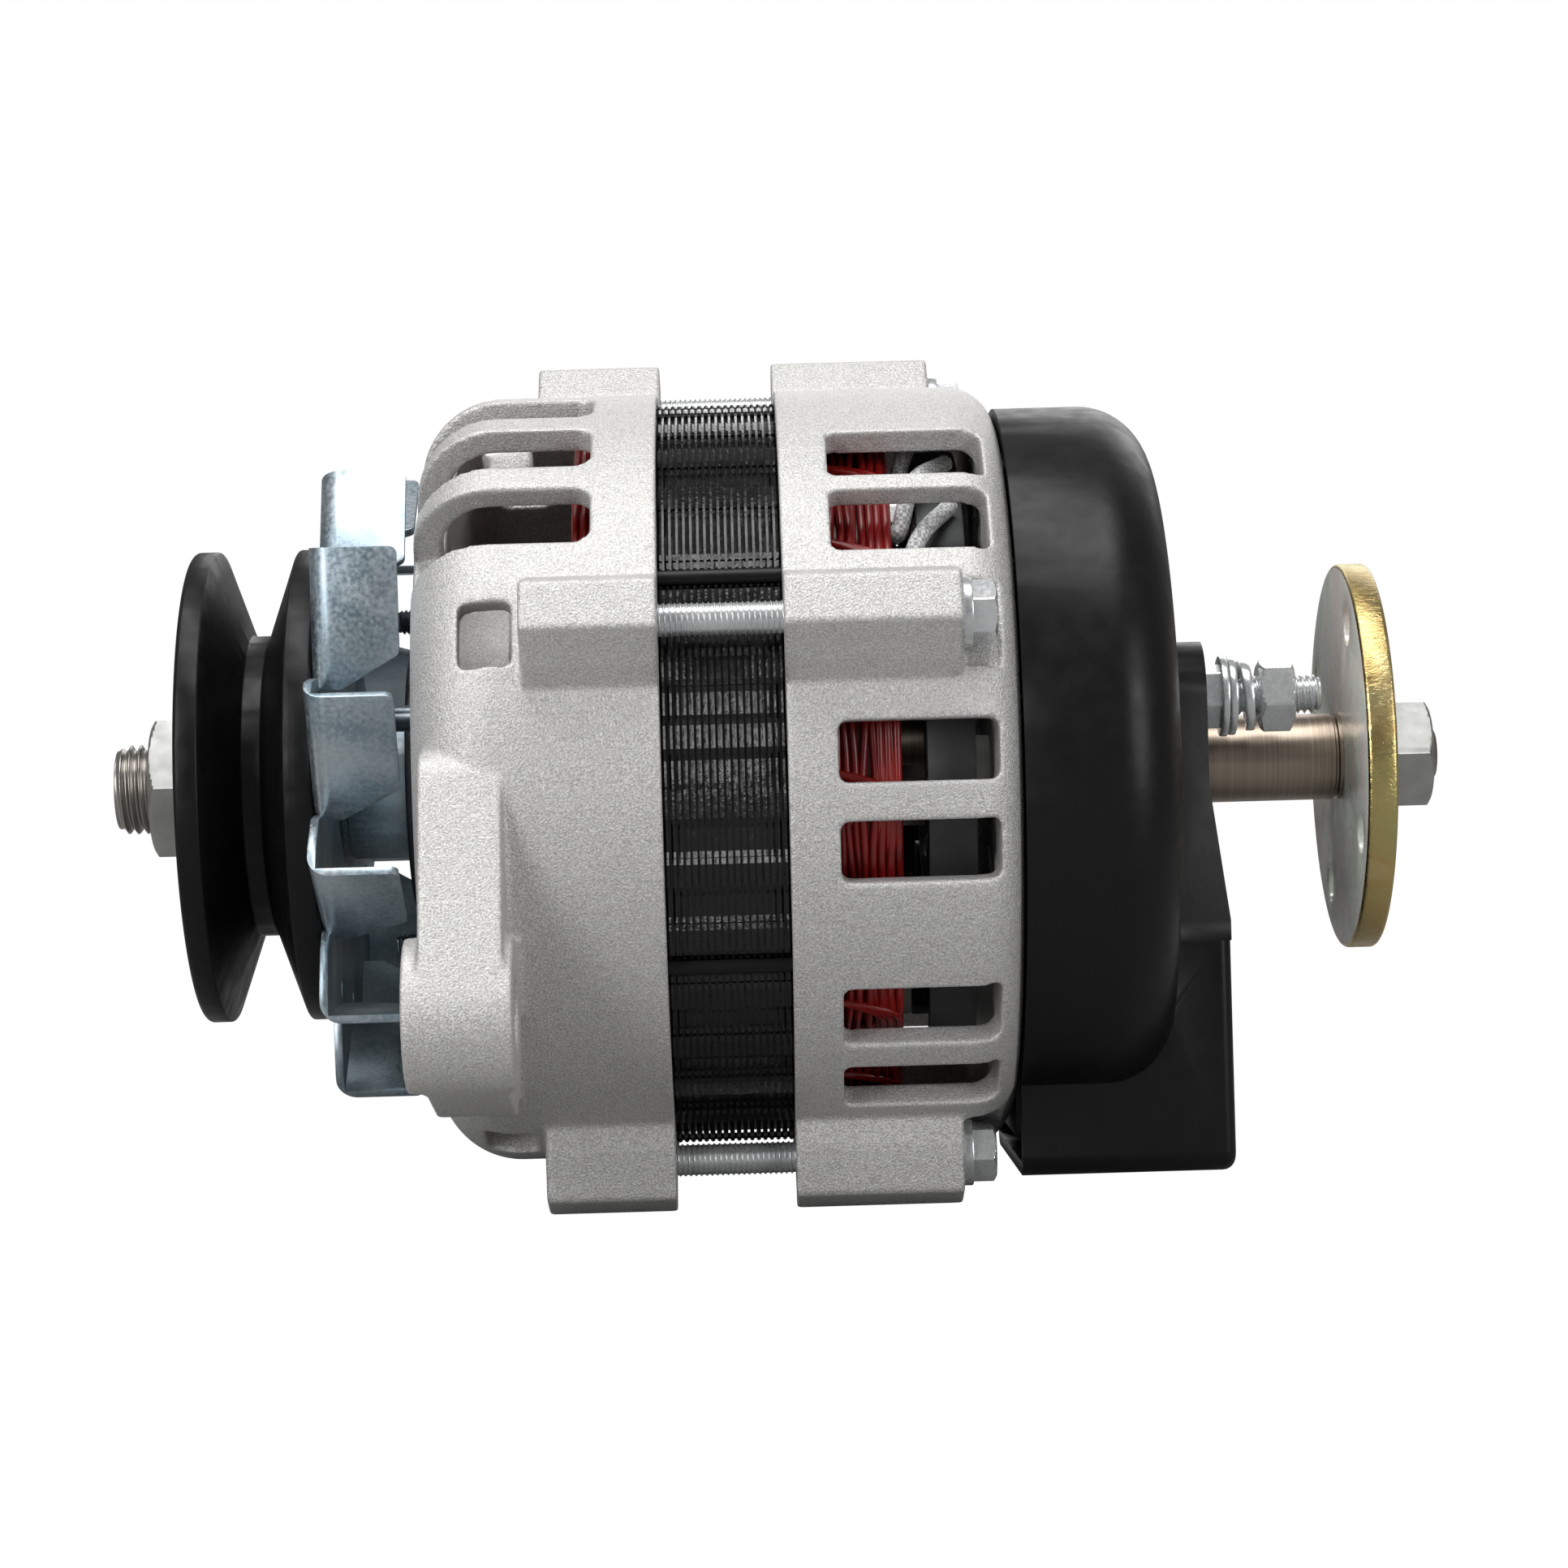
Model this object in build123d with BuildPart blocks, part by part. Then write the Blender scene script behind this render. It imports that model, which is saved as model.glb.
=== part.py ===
from build123d import *
import os

os.makedirs("parts", exist_ok=True)

# ---------------------------------------------------------------------------
# Frame: +X runs along the shaft from the belt pulley to the drive flange, +Z is
# up, and the origin is the centre of the drive flange's outer face.
# All sizes are in millimetres and all angles in degrees.
# A station is a place along X, and a station's name says what stands there.
# ---------------------------------------------------------------------------

# Fits and small clearances
seat_gap = 0.05            # around a screw in its own tapped hole
screw_gap = 0.3            # around a screw in a plain hole
air_gap = 0.5              # between the poles and the stator bore
ball_gap = 0.08            # between a bearing ball and its race
brush_gap = 0.1            # between a brush and its ring, and around a brush

# Stations, from the pulley end to the flange end
shaft_front = -194.5
front_nut_outer = -188.8
pulley_hub_face = -178.2
pulley_front = -181.2
pulley_back = -160.7
fan_back = -159.5
fan_tip = -147.6
dust_disc_front = -148.5
bracket_front = -146.0
front_stack_seat = -114.1
front_gap_edge = -109.1
rear_gap_edge = -91.2
rear_stack_seat = -86.2
rear_wall_inner = -61.5
rear_wall_outer = -57.5
dome_face = -34.0
terminal_face = -27.5
hump_face = -25.4
flange_inner = -4.5
shaft_rear = 10.4

# Shaft
bearing_bore_radius = 7.5
front_thread_radius = 7.0
pole_seat_radius = 9.0
rear_shaft_radius = 6.7
rear_thread_radius = 5.0
thread_chamfer = 1.0
ring_groove_reach = 1.2    # from the flange to the far edge of the ring groove
ring_groove_width = 0.6
ring_groove_depth = 0.4

# Pulley
pulley_radius = 36.5
pulley_rim_width = 3.6
groove_width = 12.6
groove_root_width = 3.0
groove_depth = 13.2
pulley_dish_radius = 31.0
pulley_web_radius = 27.0
pulley_edge = 0.5
key_width = 4.0
key_half_height = 1.5
key_start = -173.0
key_end = -162.0

# Fan
fan_sheet = fan_back - pulley_back
fan_blades = 12
fan_disc_radius = 33.0
blade_offset = 34.0        # from the shaft axis to the plane of a blade
blade_outer = 36.0         # along the blade, from the foot of that offset
blade_inner = 15.0
blade_slant = 5.0
blade_bend = 3.2
blade_corner = 1.2
first_blade_angle = 182.0
blade_trim = 1.0           # by which a trimming cut passes the sheet's edge
edge_tolerance = 0.1

# Collar and dust disc
collar_radius = 11.75
collar_groove = 0.4
collar_groove_width = 1.2
dust_disc_radius = 20.4
dust_disc_sheet = 1.4
dust_hub_radius = 10.2

# Bearings
front_bearing_start = -144.6
front_bearing_width = 13.0
front_bearing_radius = 21.0
front_ball_radius = 3.9
rear_bearing_start = -69.5
rear_bearing_width = 11.0
rear_bearing_radius = 17.5
rear_ball_radius = 2.9
ball_count = 7
race_shoulder = 0.45       # of a ball's radius, left open between the rings
lip = 2.6                  # by which a hub's lip reaches in over the outer ring

# Brackets
stator_radius = 57.2
bracket_wall = 3.8
stator_seat_depth = 2.0     # by which the stator is let into a bracket's wall
bracket_inner_radius = stator_radius - stator_seat_depth
bracket_radius = bracket_inner_radius + bracket_wall
front_shoulder = 12.5
front_inner_shoulder = 8.0
rear_shoulder = 7.5
front_wall = 5.2
front_face_dish = 1.2
hub_radius = 31.0
rear_hub_radius = 22.5

# Through bolts
bolt_count = 4
bolt_offset = 4.8          # from the stator's rim to a through bolt's axis
bolt_circle = stator_radius + bolt_offset
first_bolt_angle = 69.4
bolt_radius = 2.25
bolt_head_flats = 8.0
bolt_head_height = 3.5
bolt_washer = 1.5
bolt_washer_radius = 5.0
front_boss_end = -128.5
rear_boss_end = -66.1
pocket_floor = 56.5
pocket_width = 13.0
pocket_end = -60.3
bolt_end = -123.5
bolt_hole_spare = 1.0

# Windows in the brackets, as angles seen from the flange end
front_slot_angles = [139.5, 123.8, 108.1, 92.4]
front_slot_width = 10.6
front_slot_start = -118.7
rear_slot_angles = [141.9, 127.5, 177.5, 191.6, 217.7, 232.8]
rear_slot_widths = [11.4, 11.2, 8.7, 8.8, 10.4, 10.2]
rear_slot_start = -84.0
rear_slot_end = -61.2
slot_floor = 44.0
slot_corner = 2.4
# Flat-topped boss with sloping flanks, as (outward, sideways) from the bolt axis
boss_outline = [(-5, -9), (0.5, -7), (7, -3.6), (7, 3.6), (0.5, 7), (-5, 9)]
pocket_window_start = -137.6
pocket_window_end = -130.0
pocket_window_width = 10.0
far_window_start = -136.0
far_window_end = -127.0
far_window_width = 9.0
far_window_angle = 58.0

# Ears
pivot_ear_y = -59.5
pivot_ear_z = -33.0
pivot_ear_radius = 11.0
pivot_hole_radius = 5.25
pivot_ear_end = -130.4
pad_front = -143.6
pad_end = -131.7
pad_foot_radius = 5.0
pad_feet = [(-54.5, -1.0), (-40.0, -44.0)]
adjuster_feet = [(45.0, 10.0), (32.0, 38.0)]
adjuster_y = 62.5
adjuster_z = 29.2
adjuster_radius = 8.5
adjuster_hole_radius = 3.4
adjuster_front = -143.6
adjuster_end = -131.6

# Bearing retainer
retainer_sheet = 1.6
retainer_inner = 15.5
retainer_screw_count = 4
retainer_circle = 27.0
retainer_screw_radius = 1.95
retainer_head_radius = 3.6
retainer_head_height = 2.4
retainer_screw_front = -149.2

# Stator
stack_depth = 16.2         # from the rim to the bore
stator_bore = stator_radius - stack_depth
slot_count = 36
stator_slot_width = 4.2
yoke_depth = 5.7           # from the rim to the floor of a slot
stator_slot_floor = stator_radius - yoke_depth
wire_leg_width = 3.8
wire_leg_inner = stator_bore + 2.0
slot_spare = 0.3            # by which a slot is cut past its wires at either end
rim_groove_depth = 1.0
rim_groove_width = 5.0
first_rim_groove = 149.7
weld_count = 6
weld_bar_width = 2.3
weld_bar_sink = 0.3         # below the rim of the stack
end_turn_inner = stator_bore + 2.5
end_turn_outer = stator_radius - 4.2
front_end_turn = -122.0
rear_end_turn = -74.6
end_turn_round = 2.6

# Rotor poles and coil
pole_radius = stator_bore - air_gap
pole_fingers = 6
front_pole_face = -118.5
rear_pole_face = -81.5
pole_disc = 8.0
pole_finger_tip = 4.0      # from a finger's tip to the other pole's outer face
pole_lobe = 30.5
pole_core = 18.0
finger_root_inner = 31.5
finger_tip_inner = 36.5
notch_root_width = 17.0
notch_tip_width = 32.0
bobbin_wall = 1.2
coil_radius = 29.6
pole_middle = (front_pole_face + rear_pole_face) / 2

# Internal fan
inner_fan_sheet = 1.2
inner_fan_radius = pole_radius - 1.0
inner_fan_tip = -72.4
inner_blade_count = 10
inner_blade_start = 27.0
inner_blade_lean = 35.0

# Rectifier
plate_face = -68.0
plate_thickness = 4.0
plate_inner = 25.0
plate_outer = 49.0
plate_rim = 2.0
plate_rim_start = -71.0
plate_gap_angle = 70.0
plate_bolt_circle = 37.0
plate_bolt_angles = [0.0, 90.0, 180.0]
plate_bolt_radius = 2.0
plate_bolt_head = 2.6
plate_bolt_head_radius = 4.0
insulator_radius = 4.5
diode_circle = 37.0
diode_angles = [-28.0, 28.0, 58.0, 112.0, 152.0, 208.0]
diode_radius = 5.5
diode_proud = 1.5
vent_circle = 38.0
vent_angles = [30.0, 62.0, 118.0, 210.0, 330.0]
vent_length = 15.0
vent_width = 12.0
link_angle = 135.0
link_circle = 40.0
link_radius = 2.5
link_hole_radius = 4.2
link_nut = 3.0

# Sleeved leads
lead_radius = 1.4
lead_angles = [149.0, 134.0, 119.0]
lead_root = end_turn_outer - 4.7   # from the shaft axis, where it leaves the winding
lead_rise = 1.2            # straight out of the winding
lead_crest = end_turn_outer - 1.2
lead_crest_turn = 9.0      # by which a lead has swung at its crest
lead_end_turn = 19.0       # by which it has swung at the plate
lead_end = -65.8

# Rear cover
cover_radius = 55.4
cover_wall = 2.0
cover_rim = -57.4
dome_round = 10.5
hump_half_width = 28.0
hump_bottom = -61.5
hump_top = -24.0
hump_round = 3.2
hump_face_round = 1.9
neck_inner = -8.0
neck_step = 3.0
neck_foot = -3.8
shaft_hole_radius = 9.5
cover_post_radius = 4.6
cover_post_circle = 44.0
cover_post_angles = [90.0, 210.0, 330.0]
cover_screw_radius = 2.0
cover_screw_head = 3.6
cover_screw_sink = 5.0
cover_screw_head_height = 3.0
post_root = 0.5            # by which a post is sunk in the end of the cover

# Output terminal
terminal_y = -15.0
terminal_z = 9.6
terminal_boss_radius = 8.4
terminal_radius = 3.0
terminal_end = -9.4
terminal_chamfer = 0.6
base_nut_radius = 5.1
base_nut_height = 2.7
terminal_washer = 1.2
terminal_washer_radius = 6.15
outer_washer_step = 0.2     # by which the outer washer is smaller
spring_washer_radius = 5.35
spring_washer_bore = 3.3
spring_washer_wire = 1.5
spring_washer_room = 3.5
spring_washer_slit = 1.4
spring_washer_tilt = 9.0
terminal_nut_flats = 10.0
terminal_nut_height = 5.4
busbar = 1.6
busbar_width = 9.0
terminal_head = 4.0

# Slip rings, brushes and regulator
ring_hub_start = -56.0
ring_hub_end = -38.4
ring_hub_radius = 9.4
ring_radius = 11.0
ring_width = 5.0
ring_stations = [-51.5, -43.5]
brush_length = 5.0
brush_width = 7.0
brush_bottom = -33.0
holder_half_width = 9.0
holder_top = -13.5
holder_bottom = -39.0
regulator_half_width = 17.0
regulator_bottom = -56.5
regulator_end = -36.0
regulator_fins = 4
fin_gap = 2.2
fin_pitch = 4.2
fin_drop = 2.0             # of the fins' middle below the regulator's
fin_depth = 6.0
regulator_screw_y = 12.5
regulator_screw_z = -44.5
regulator_screw_radius = 1.95

# Flange and rear nut
flange_radius = 29.9
flange_holes = 4
flange_hole_circle = 23.2
flange_hole_radius = 3.0
first_flange_hole = 30.5
flange_edge = 0.4
rear_nut_flats = 16.0
rear_nut_height = 9.3
front_nut_flats = 21.0
nut_chamfer = 1.0
nut_chamfer_depth = 0.6


def across(x):
    """Plane square to the shaft at a station, with local axes +Y and +Z."""
    return Plane.YZ.offset(x)


def outward(angle):
    """Unit vector out from the shaft at an angle from +Y towards +Z."""
    return Vector(0, 1, 0).rotate(Axis.X, angle)


def radial_plane(angle, radius, x=0):
    """Plane facing outward, with its first axis along the shaft."""
    return Plane(origin=outward(angle) * radius + Vector(x, 0, 0), x_dir=(1, 0, 0), z_dir=outward(angle))


def hexagon(flats):
    """Corner radius of a hexagon from its width across flats."""
    return flats / 3 ** 0.5


def finish(builder, label):
    builder.part.label = label
    export_step(builder.part, f"parts/{label}.step")


def turned(label, outline):
    """A piece turned about the shaft from its half section, given as (x, radius)."""
    with BuildPart() as piece:
        with BuildSketch(Plane.XZ):
            with BuildLine():
                Polyline(*outline, close=True)
            make_face()
        revolve(axis=Axis.X)
    finish(piece, label)
    return piece


def nut(label, start, end, flats, bore, y=0, z=0):
    """A hexagon nut with both faces chamfered to a cone."""
    corner = hexagon(flats)
    with BuildPart() as piece:
        with BuildSketch(across(start)):
            with Locations((y, z)):
                RegularPolygon(corner, 6)
                Circle(bore, mode=Mode.SUBTRACT)
        extrude(amount=end - start)
        with BuildSketch(across(start)):
            with Locations((y, z)):
                Circle(corner)
        extrude(amount=end - start, mode=Mode.INTERSECT)
        with BuildPart(mode=Mode.INTERSECT):
            with BuildSketch(across(start)):
                with Locations((y, z)):
                    Circle(corner)
            cone = extrude(amount=end - start)
            ends = cone.edges().filter_by(GeomType.CIRCLE)
            chamfer(ends, length=nut_chamfer_depth, length2=nut_chamfer)
    finish(piece, label)


# ---------------------------------------------------------------------------
# Rotor: everything that turns
# ---------------------------------------------------------------------------

def make_shaft():
    front_seat = front_bearing_start + front_bearing_width
    groove_station = flange_inner - ring_groove_reach
    groove_floor = rear_shaft_radius - ring_groove_depth
    with BuildPart() as shaft:
        with BuildSketch(Plane.XZ):
            with BuildLine():
                Polyline(
                    (shaft_front, 0),
                    (shaft_front, front_thread_radius - thread_chamfer),
                    (shaft_front + thread_chamfer, front_thread_radius),
                    (pulley_hub_face, front_thread_radius),
                    (pulley_hub_face, bearing_bore_radius),
                    (front_seat, bearing_bore_radius),
                    (front_seat, pole_seat_radius),
                    (rear_bearing_start, pole_seat_radius),
                    (rear_bearing_start, bearing_bore_radius),
                    (ring_hub_start, bearing_bore_radius),
                    (ring_hub_start, rear_shaft_radius),
                    (groove_station, rear_shaft_radius),
                    (groove_station, groove_floor),
                    (groove_station + ring_groove_width, groove_floor),
                    (groove_station + ring_groove_width, rear_shaft_radius),
                    (flange_inner, rear_shaft_radius),
                    (flange_inner, rear_thread_radius),
                    (shaft_rear - thread_chamfer, rear_thread_radius),
                    (shaft_rear, rear_thread_radius - thread_chamfer),
                    (shaft_rear, 0),
                    close=True,
                )
            make_face()
        revolve(axis=Axis.X)
        with BuildSketch(Plane.XY.offset(bearing_bore_radius - key_half_height)):
            with Locations(((key_start + key_end) / 2, 0)):
                Rectangle(key_end - key_start, key_width)
        extrude(amount=key_half_height * 2, mode=Mode.SUBTRACT)
    finish(shaft, "shaft")


def make_pulley():
    middle = pulley_front + pulley_rim_width + groove_width / 2
    root_radius = pulley_radius - groove_depth
    with BuildPart() as pulley:
        with BuildSketch(Plane.XZ):
            with BuildLine():
                Polyline(
                    (pulley_hub_face, bearing_bore_radius),
                    (pulley_hub_face, pulley_web_radius),
                    (pulley_front, pulley_dish_radius),
                    (pulley_front, pulley_radius - pulley_edge),
                    (pulley_front + pulley_edge, pulley_radius),
                    (middle - groove_width / 2, pulley_radius),
                    (middle - groove_root_width / 2, root_radius),
                    (middle + groove_root_width / 2, root_radius),
                    (middle + groove_width / 2, pulley_radius),
                    (pulley_back - pulley_edge, pulley_radius),
                    (pulley_back, pulley_radius - pulley_edge),
                    (pulley_back, bearing_bore_radius),
                    close=True,
                )
            make_face()
        revolve(axis=Axis.X)
        with BuildSketch(Plane.XY.offset(bearing_bore_radius - key_half_height)):
            with Locations(((key_start + key_end) / 2, 0)):
                Rectangle(key_end - key_start, key_width)
        extrude(amount=key_half_height * 2, mode=Mode.SUBTRACT)
    finish(pulley, "belt_pulley")


def make_key():
    with BuildPart() as key:
        with BuildSketch(Plane.XY.offset(bearing_bore_radius - key_half_height)):
            with Locations(((key_start + key_end) / 2, 0)):
                Rectangle(key_end - key_start, key_width)
        extrude(amount=key_half_height * 2)
    finish(key, "pulley_key")


def make_fan():
    fold_start = blade_offset - blade_bend - fan_sheet
    with BuildPart() as fan:
        with BuildSketch(across(pulley_back)):
            Circle(fan_disc_radius)
            # An arm of the disc reaches out to the fold of each blade
            for number in range(fan_blades):
                angle = first_blade_angle + number * 360 / fan_blades
                away = outward(angle)
                along = outward(angle - 90)
                arm = (
                    Vector(0, 0, 0),
                    away * fold_start + along * blade_inner,
                    away * fold_start + along * blade_outer,
                    away * (fold_start - blade_bend * 2) + along * (blade_outer - blade_bend),
                )
                Polygon(*[(corner.Y, corner.Z) for corner in arm], align=None)
            Circle(bearing_bore_radius, mode=Mode.SUBTRACT)
        extrude(amount=fan_back - pulley_back)
        for number in range(fan_blades):
            angle = first_blade_angle + number * 360 / fan_blades
            along = outward(angle - 90)
            with BuildSketch(Plane(origin=along * blade_outer, x_dir=(1, 0, 0), z_dir=along * -1)):
                with BuildLine():
                    Polyline(
                        (pulley_back, fold_start),
                        (pulley_back, blade_offset),
                        (fan_tip, blade_offset),
                        (fan_tip, blade_offset - fan_sheet),
                        (fan_back, blade_offset - fan_sheet),
                        (fan_back, fold_start),
                        close=True,
                    )
                face = make_face()
                outer_bend = face.vertices().sort_by_distance((pulley_back, blade_offset, 0))[0]
                inner_bend = face.vertices().sort_by_distance((fan_back, blade_offset - fan_sheet, 0))[0]
                fillet(outer_bend, blade_bend)
                fillet(inner_bend, blade_bend - fan_sheet)
            extrude(amount=blade_outer - blade_inner)
            with BuildSketch(radial_plane(angle, blade_offset + fan_sheet)):
                with BuildLine():
                    Polyline(
                        (fan_back + blade_bend, blade_inner),
                        (fan_tip, blade_inner + blade_slant),
                        (fan_tip + blade_trim, blade_inner + blade_slant),
                        (fan_tip + blade_trim, blade_inner - blade_trim),
                        (fan_back + blade_bend, blade_inner - blade_trim),
                        close=True,
                    )
                make_face()
            extrude(amount=-fan_sheet - blade_bend, mode=Mode.SUBTRACT)
        short = fan.edges().filter_by(lambda edge: edge.length < fan_sheet + edge_tolerance)
        corners = short.filter_by(lambda edge: edge.center().X > fan_tip - edge_tolerance)
        fillet(corners, blade_corner)
    finish(fan, "cooling_fan")


def make_collar_and_disc():
    turned("spacer_collar", [
        (fan_back, bearing_bore_radius),
        (fan_back, collar_radius - collar_groove),
        (fan_back + collar_groove_width, collar_radius - collar_groove),
        (fan_back + collar_groove_width, collar_radius),
        (dust_disc_front - collar_groove, collar_radius),
        (dust_disc_front, collar_radius - collar_groove),
        (dust_disc_front, bearing_bore_radius),
    ])
    disc_back = dust_disc_front + dust_disc_sheet
    turned("dust_disc", [
        (dust_disc_front, bearing_bore_radius),
        (dust_disc_front, dust_disc_radius - collar_groove),
        (dust_disc_front + collar_groove, dust_disc_radius),
        (disc_back, dust_disc_radius),
        (disc_back, dust_hub_radius),
        (front_bearing_start, dust_hub_radius),
        (front_bearing_start, bearing_bore_radius),
    ])


def make_bearing(prefix, start, width, outer_radius, ball_radius):
    """Two grooved rings and a set of balls, centred on the shaft."""
    pitch = (bearing_bore_radius + outer_radius) / 2
    middle = start + width / 2
    opening = ball_radius * race_shoulder
    for part_name, low, high in (
        ("inner_ring", bearing_bore_radius, pitch - opening),
        ("outer_ring", pitch + opening, outer_radius),
    ):
        with BuildPart() as ring:
            with BuildSketch(Plane.XZ):
                with Locations((middle, (low + high) / 2)):
                    Rectangle(width, high - low)
                with Locations((middle, pitch)):
                    Circle(ball_radius + ball_gap, mode=Mode.SUBTRACT)
            revolve(axis=Axis.X)
        finish(ring, f"{prefix}_bearing_{part_name}")
    with BuildPart() as balls:
        with Locations(across(middle)):
            with PolarLocations(pitch, ball_count):
                Sphere(ball_radius)
    finish(balls, f"{prefix}_bearing_balls")


def make_pole(label, face, inward, turn):
    """One claw pole: a lobed disc, half of the core, and six tapered fingers."""
    disc_inner = face + inward * pole_disc
    if inward > 0:
        tip = rear_pole_face - pole_finger_tip
    else:
        tip = front_pole_face + pole_finger_tip
    with BuildPart() as pole:
        with BuildSketch(Plane.XZ):
            with BuildLine():
                Polyline(
                    (face, pole_seat_radius),
                    (face, pole_radius - 2),
                    (face + inward * 2, pole_radius),
                    (tip, pole_radius),
                    (tip, finger_tip_inner),
                    (disc_inner, finger_root_inner),
                    (disc_inner, pole_core),
                    (pole_middle, pole_core),
                    (pole_middle, pole_seat_radius),
                    close=True,
                )
            make_face()
        revolve(axis=Axis.X)
        for number in range(pole_fingers):
            angle = turn + (number + 0.5) * 360 / pole_fingers
            with BuildSketch(radial_plane(angle, pole_lobe)):
                with BuildLine():
                    Polyline(
                        (face - inward, -notch_root_width / 2),
                        (face - inward, notch_root_width / 2),
                        (disc_inner, notch_root_width / 2),
                        (tip + inward, notch_tip_width / 2),
                        (tip + inward, -notch_tip_width / 2),
                        (disc_inner, -notch_root_width / 2),
                        close=True,
                    )
                make_face()
            extrude(amount=pole_radius, mode=Mode.SUBTRACT)
    finish(pole, label)


def make_coil():
    left = front_pole_face + pole_disc
    right = rear_pole_face - pole_disc
    turned("coil_bobbin", [
        (left, pole_core),
        (left, coil_radius),
        (left + bobbin_wall, coil_radius),
        (left + bobbin_wall, pole_core + bobbin_wall),
        (right - bobbin_wall, pole_core + bobbin_wall),
        (right - bobbin_wall, coil_radius),
        (right, coil_radius),
        (right, pole_core),
    ])
    turned("field_coil", [
        (left + bobbin_wall, pole_core + bobbin_wall),
        (left + bobbin_wall, coil_radius - bobbin_wall),
        (right - bobbin_wall, coil_radius - bobbin_wall),
        (right - bobbin_wall, pole_core + bobbin_wall),
    ])


def make_inner_fan():
    disc_back = rear_pole_face + inner_fan_sheet
    with BuildPart() as fan:
        with BuildSketch(across(rear_pole_face)):
            Circle(inner_fan_radius)
            Circle(pole_seat_radius, mode=Mode.SUBTRACT)
        extrude(amount=inner_fan_sheet)
        with BuildSketch(across(disc_back)):
            with PolarLocations(inner_blade_start, inner_blade_count):
                with Locations(Rotation(0, 0, inner_blade_lean)):
                    with Locations(((inner_fan_radius - inner_blade_start) / 2, 0)):
                        Rectangle(inner_fan_radius - inner_blade_start, inner_fan_sheet)
        extrude(amount=inner_fan_tip - disc_back)
    finish(fan, "internal_fan")


def make_slip_rings():
    hub = [
        (ring_hub_start, rear_shaft_radius),
        (ring_hub_start, ring_radius),
    ]
    for middle in ring_stations:
        hub += [
            (middle - ring_width / 2, ring_radius),
            (middle - ring_width / 2, ring_hub_radius),
            (middle + ring_width / 2, ring_hub_radius),
            (middle + ring_width / 2, ring_radius),
        ]
    hub += [
        (ring_hub_end, ring_radius),
        (ring_hub_end, rear_shaft_radius),
    ]
    turned("slip_ring_hub", hub)
    with BuildPart() as rings:
        for middle in ring_stations:
            with BuildSketch(across(middle - ring_width / 2)):
                Circle(ring_radius)
                Circle(ring_hub_radius, mode=Mode.SUBTRACT)
            extrude(amount=ring_width)
    finish(rings, "slip_rings")


def make_drive_flange():
    with BuildPart() as flange:
        with BuildSketch(across(flange_inner)):
            Circle(flange_radius)
            Circle(rear_thread_radius, mode=Mode.SUBTRACT)
        extrude(amount=-flange_inner)
        rims = flange.edges().filter_by(GeomType.CIRCLE).group_by(SortBy.LENGTH)[-1]
        chamfer(rims, flange_edge)
        with Locations(across(0)):
            with PolarLocations(flange_hole_circle, flange_holes, start_angle=first_flange_hole):
                Hole(flange_hole_radius, depth=-flange_inner)
    finish(flange, "drive_flange")


# ---------------------------------------------------------------------------
# Housing: everything that stands still
# ---------------------------------------------------------------------------

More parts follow.
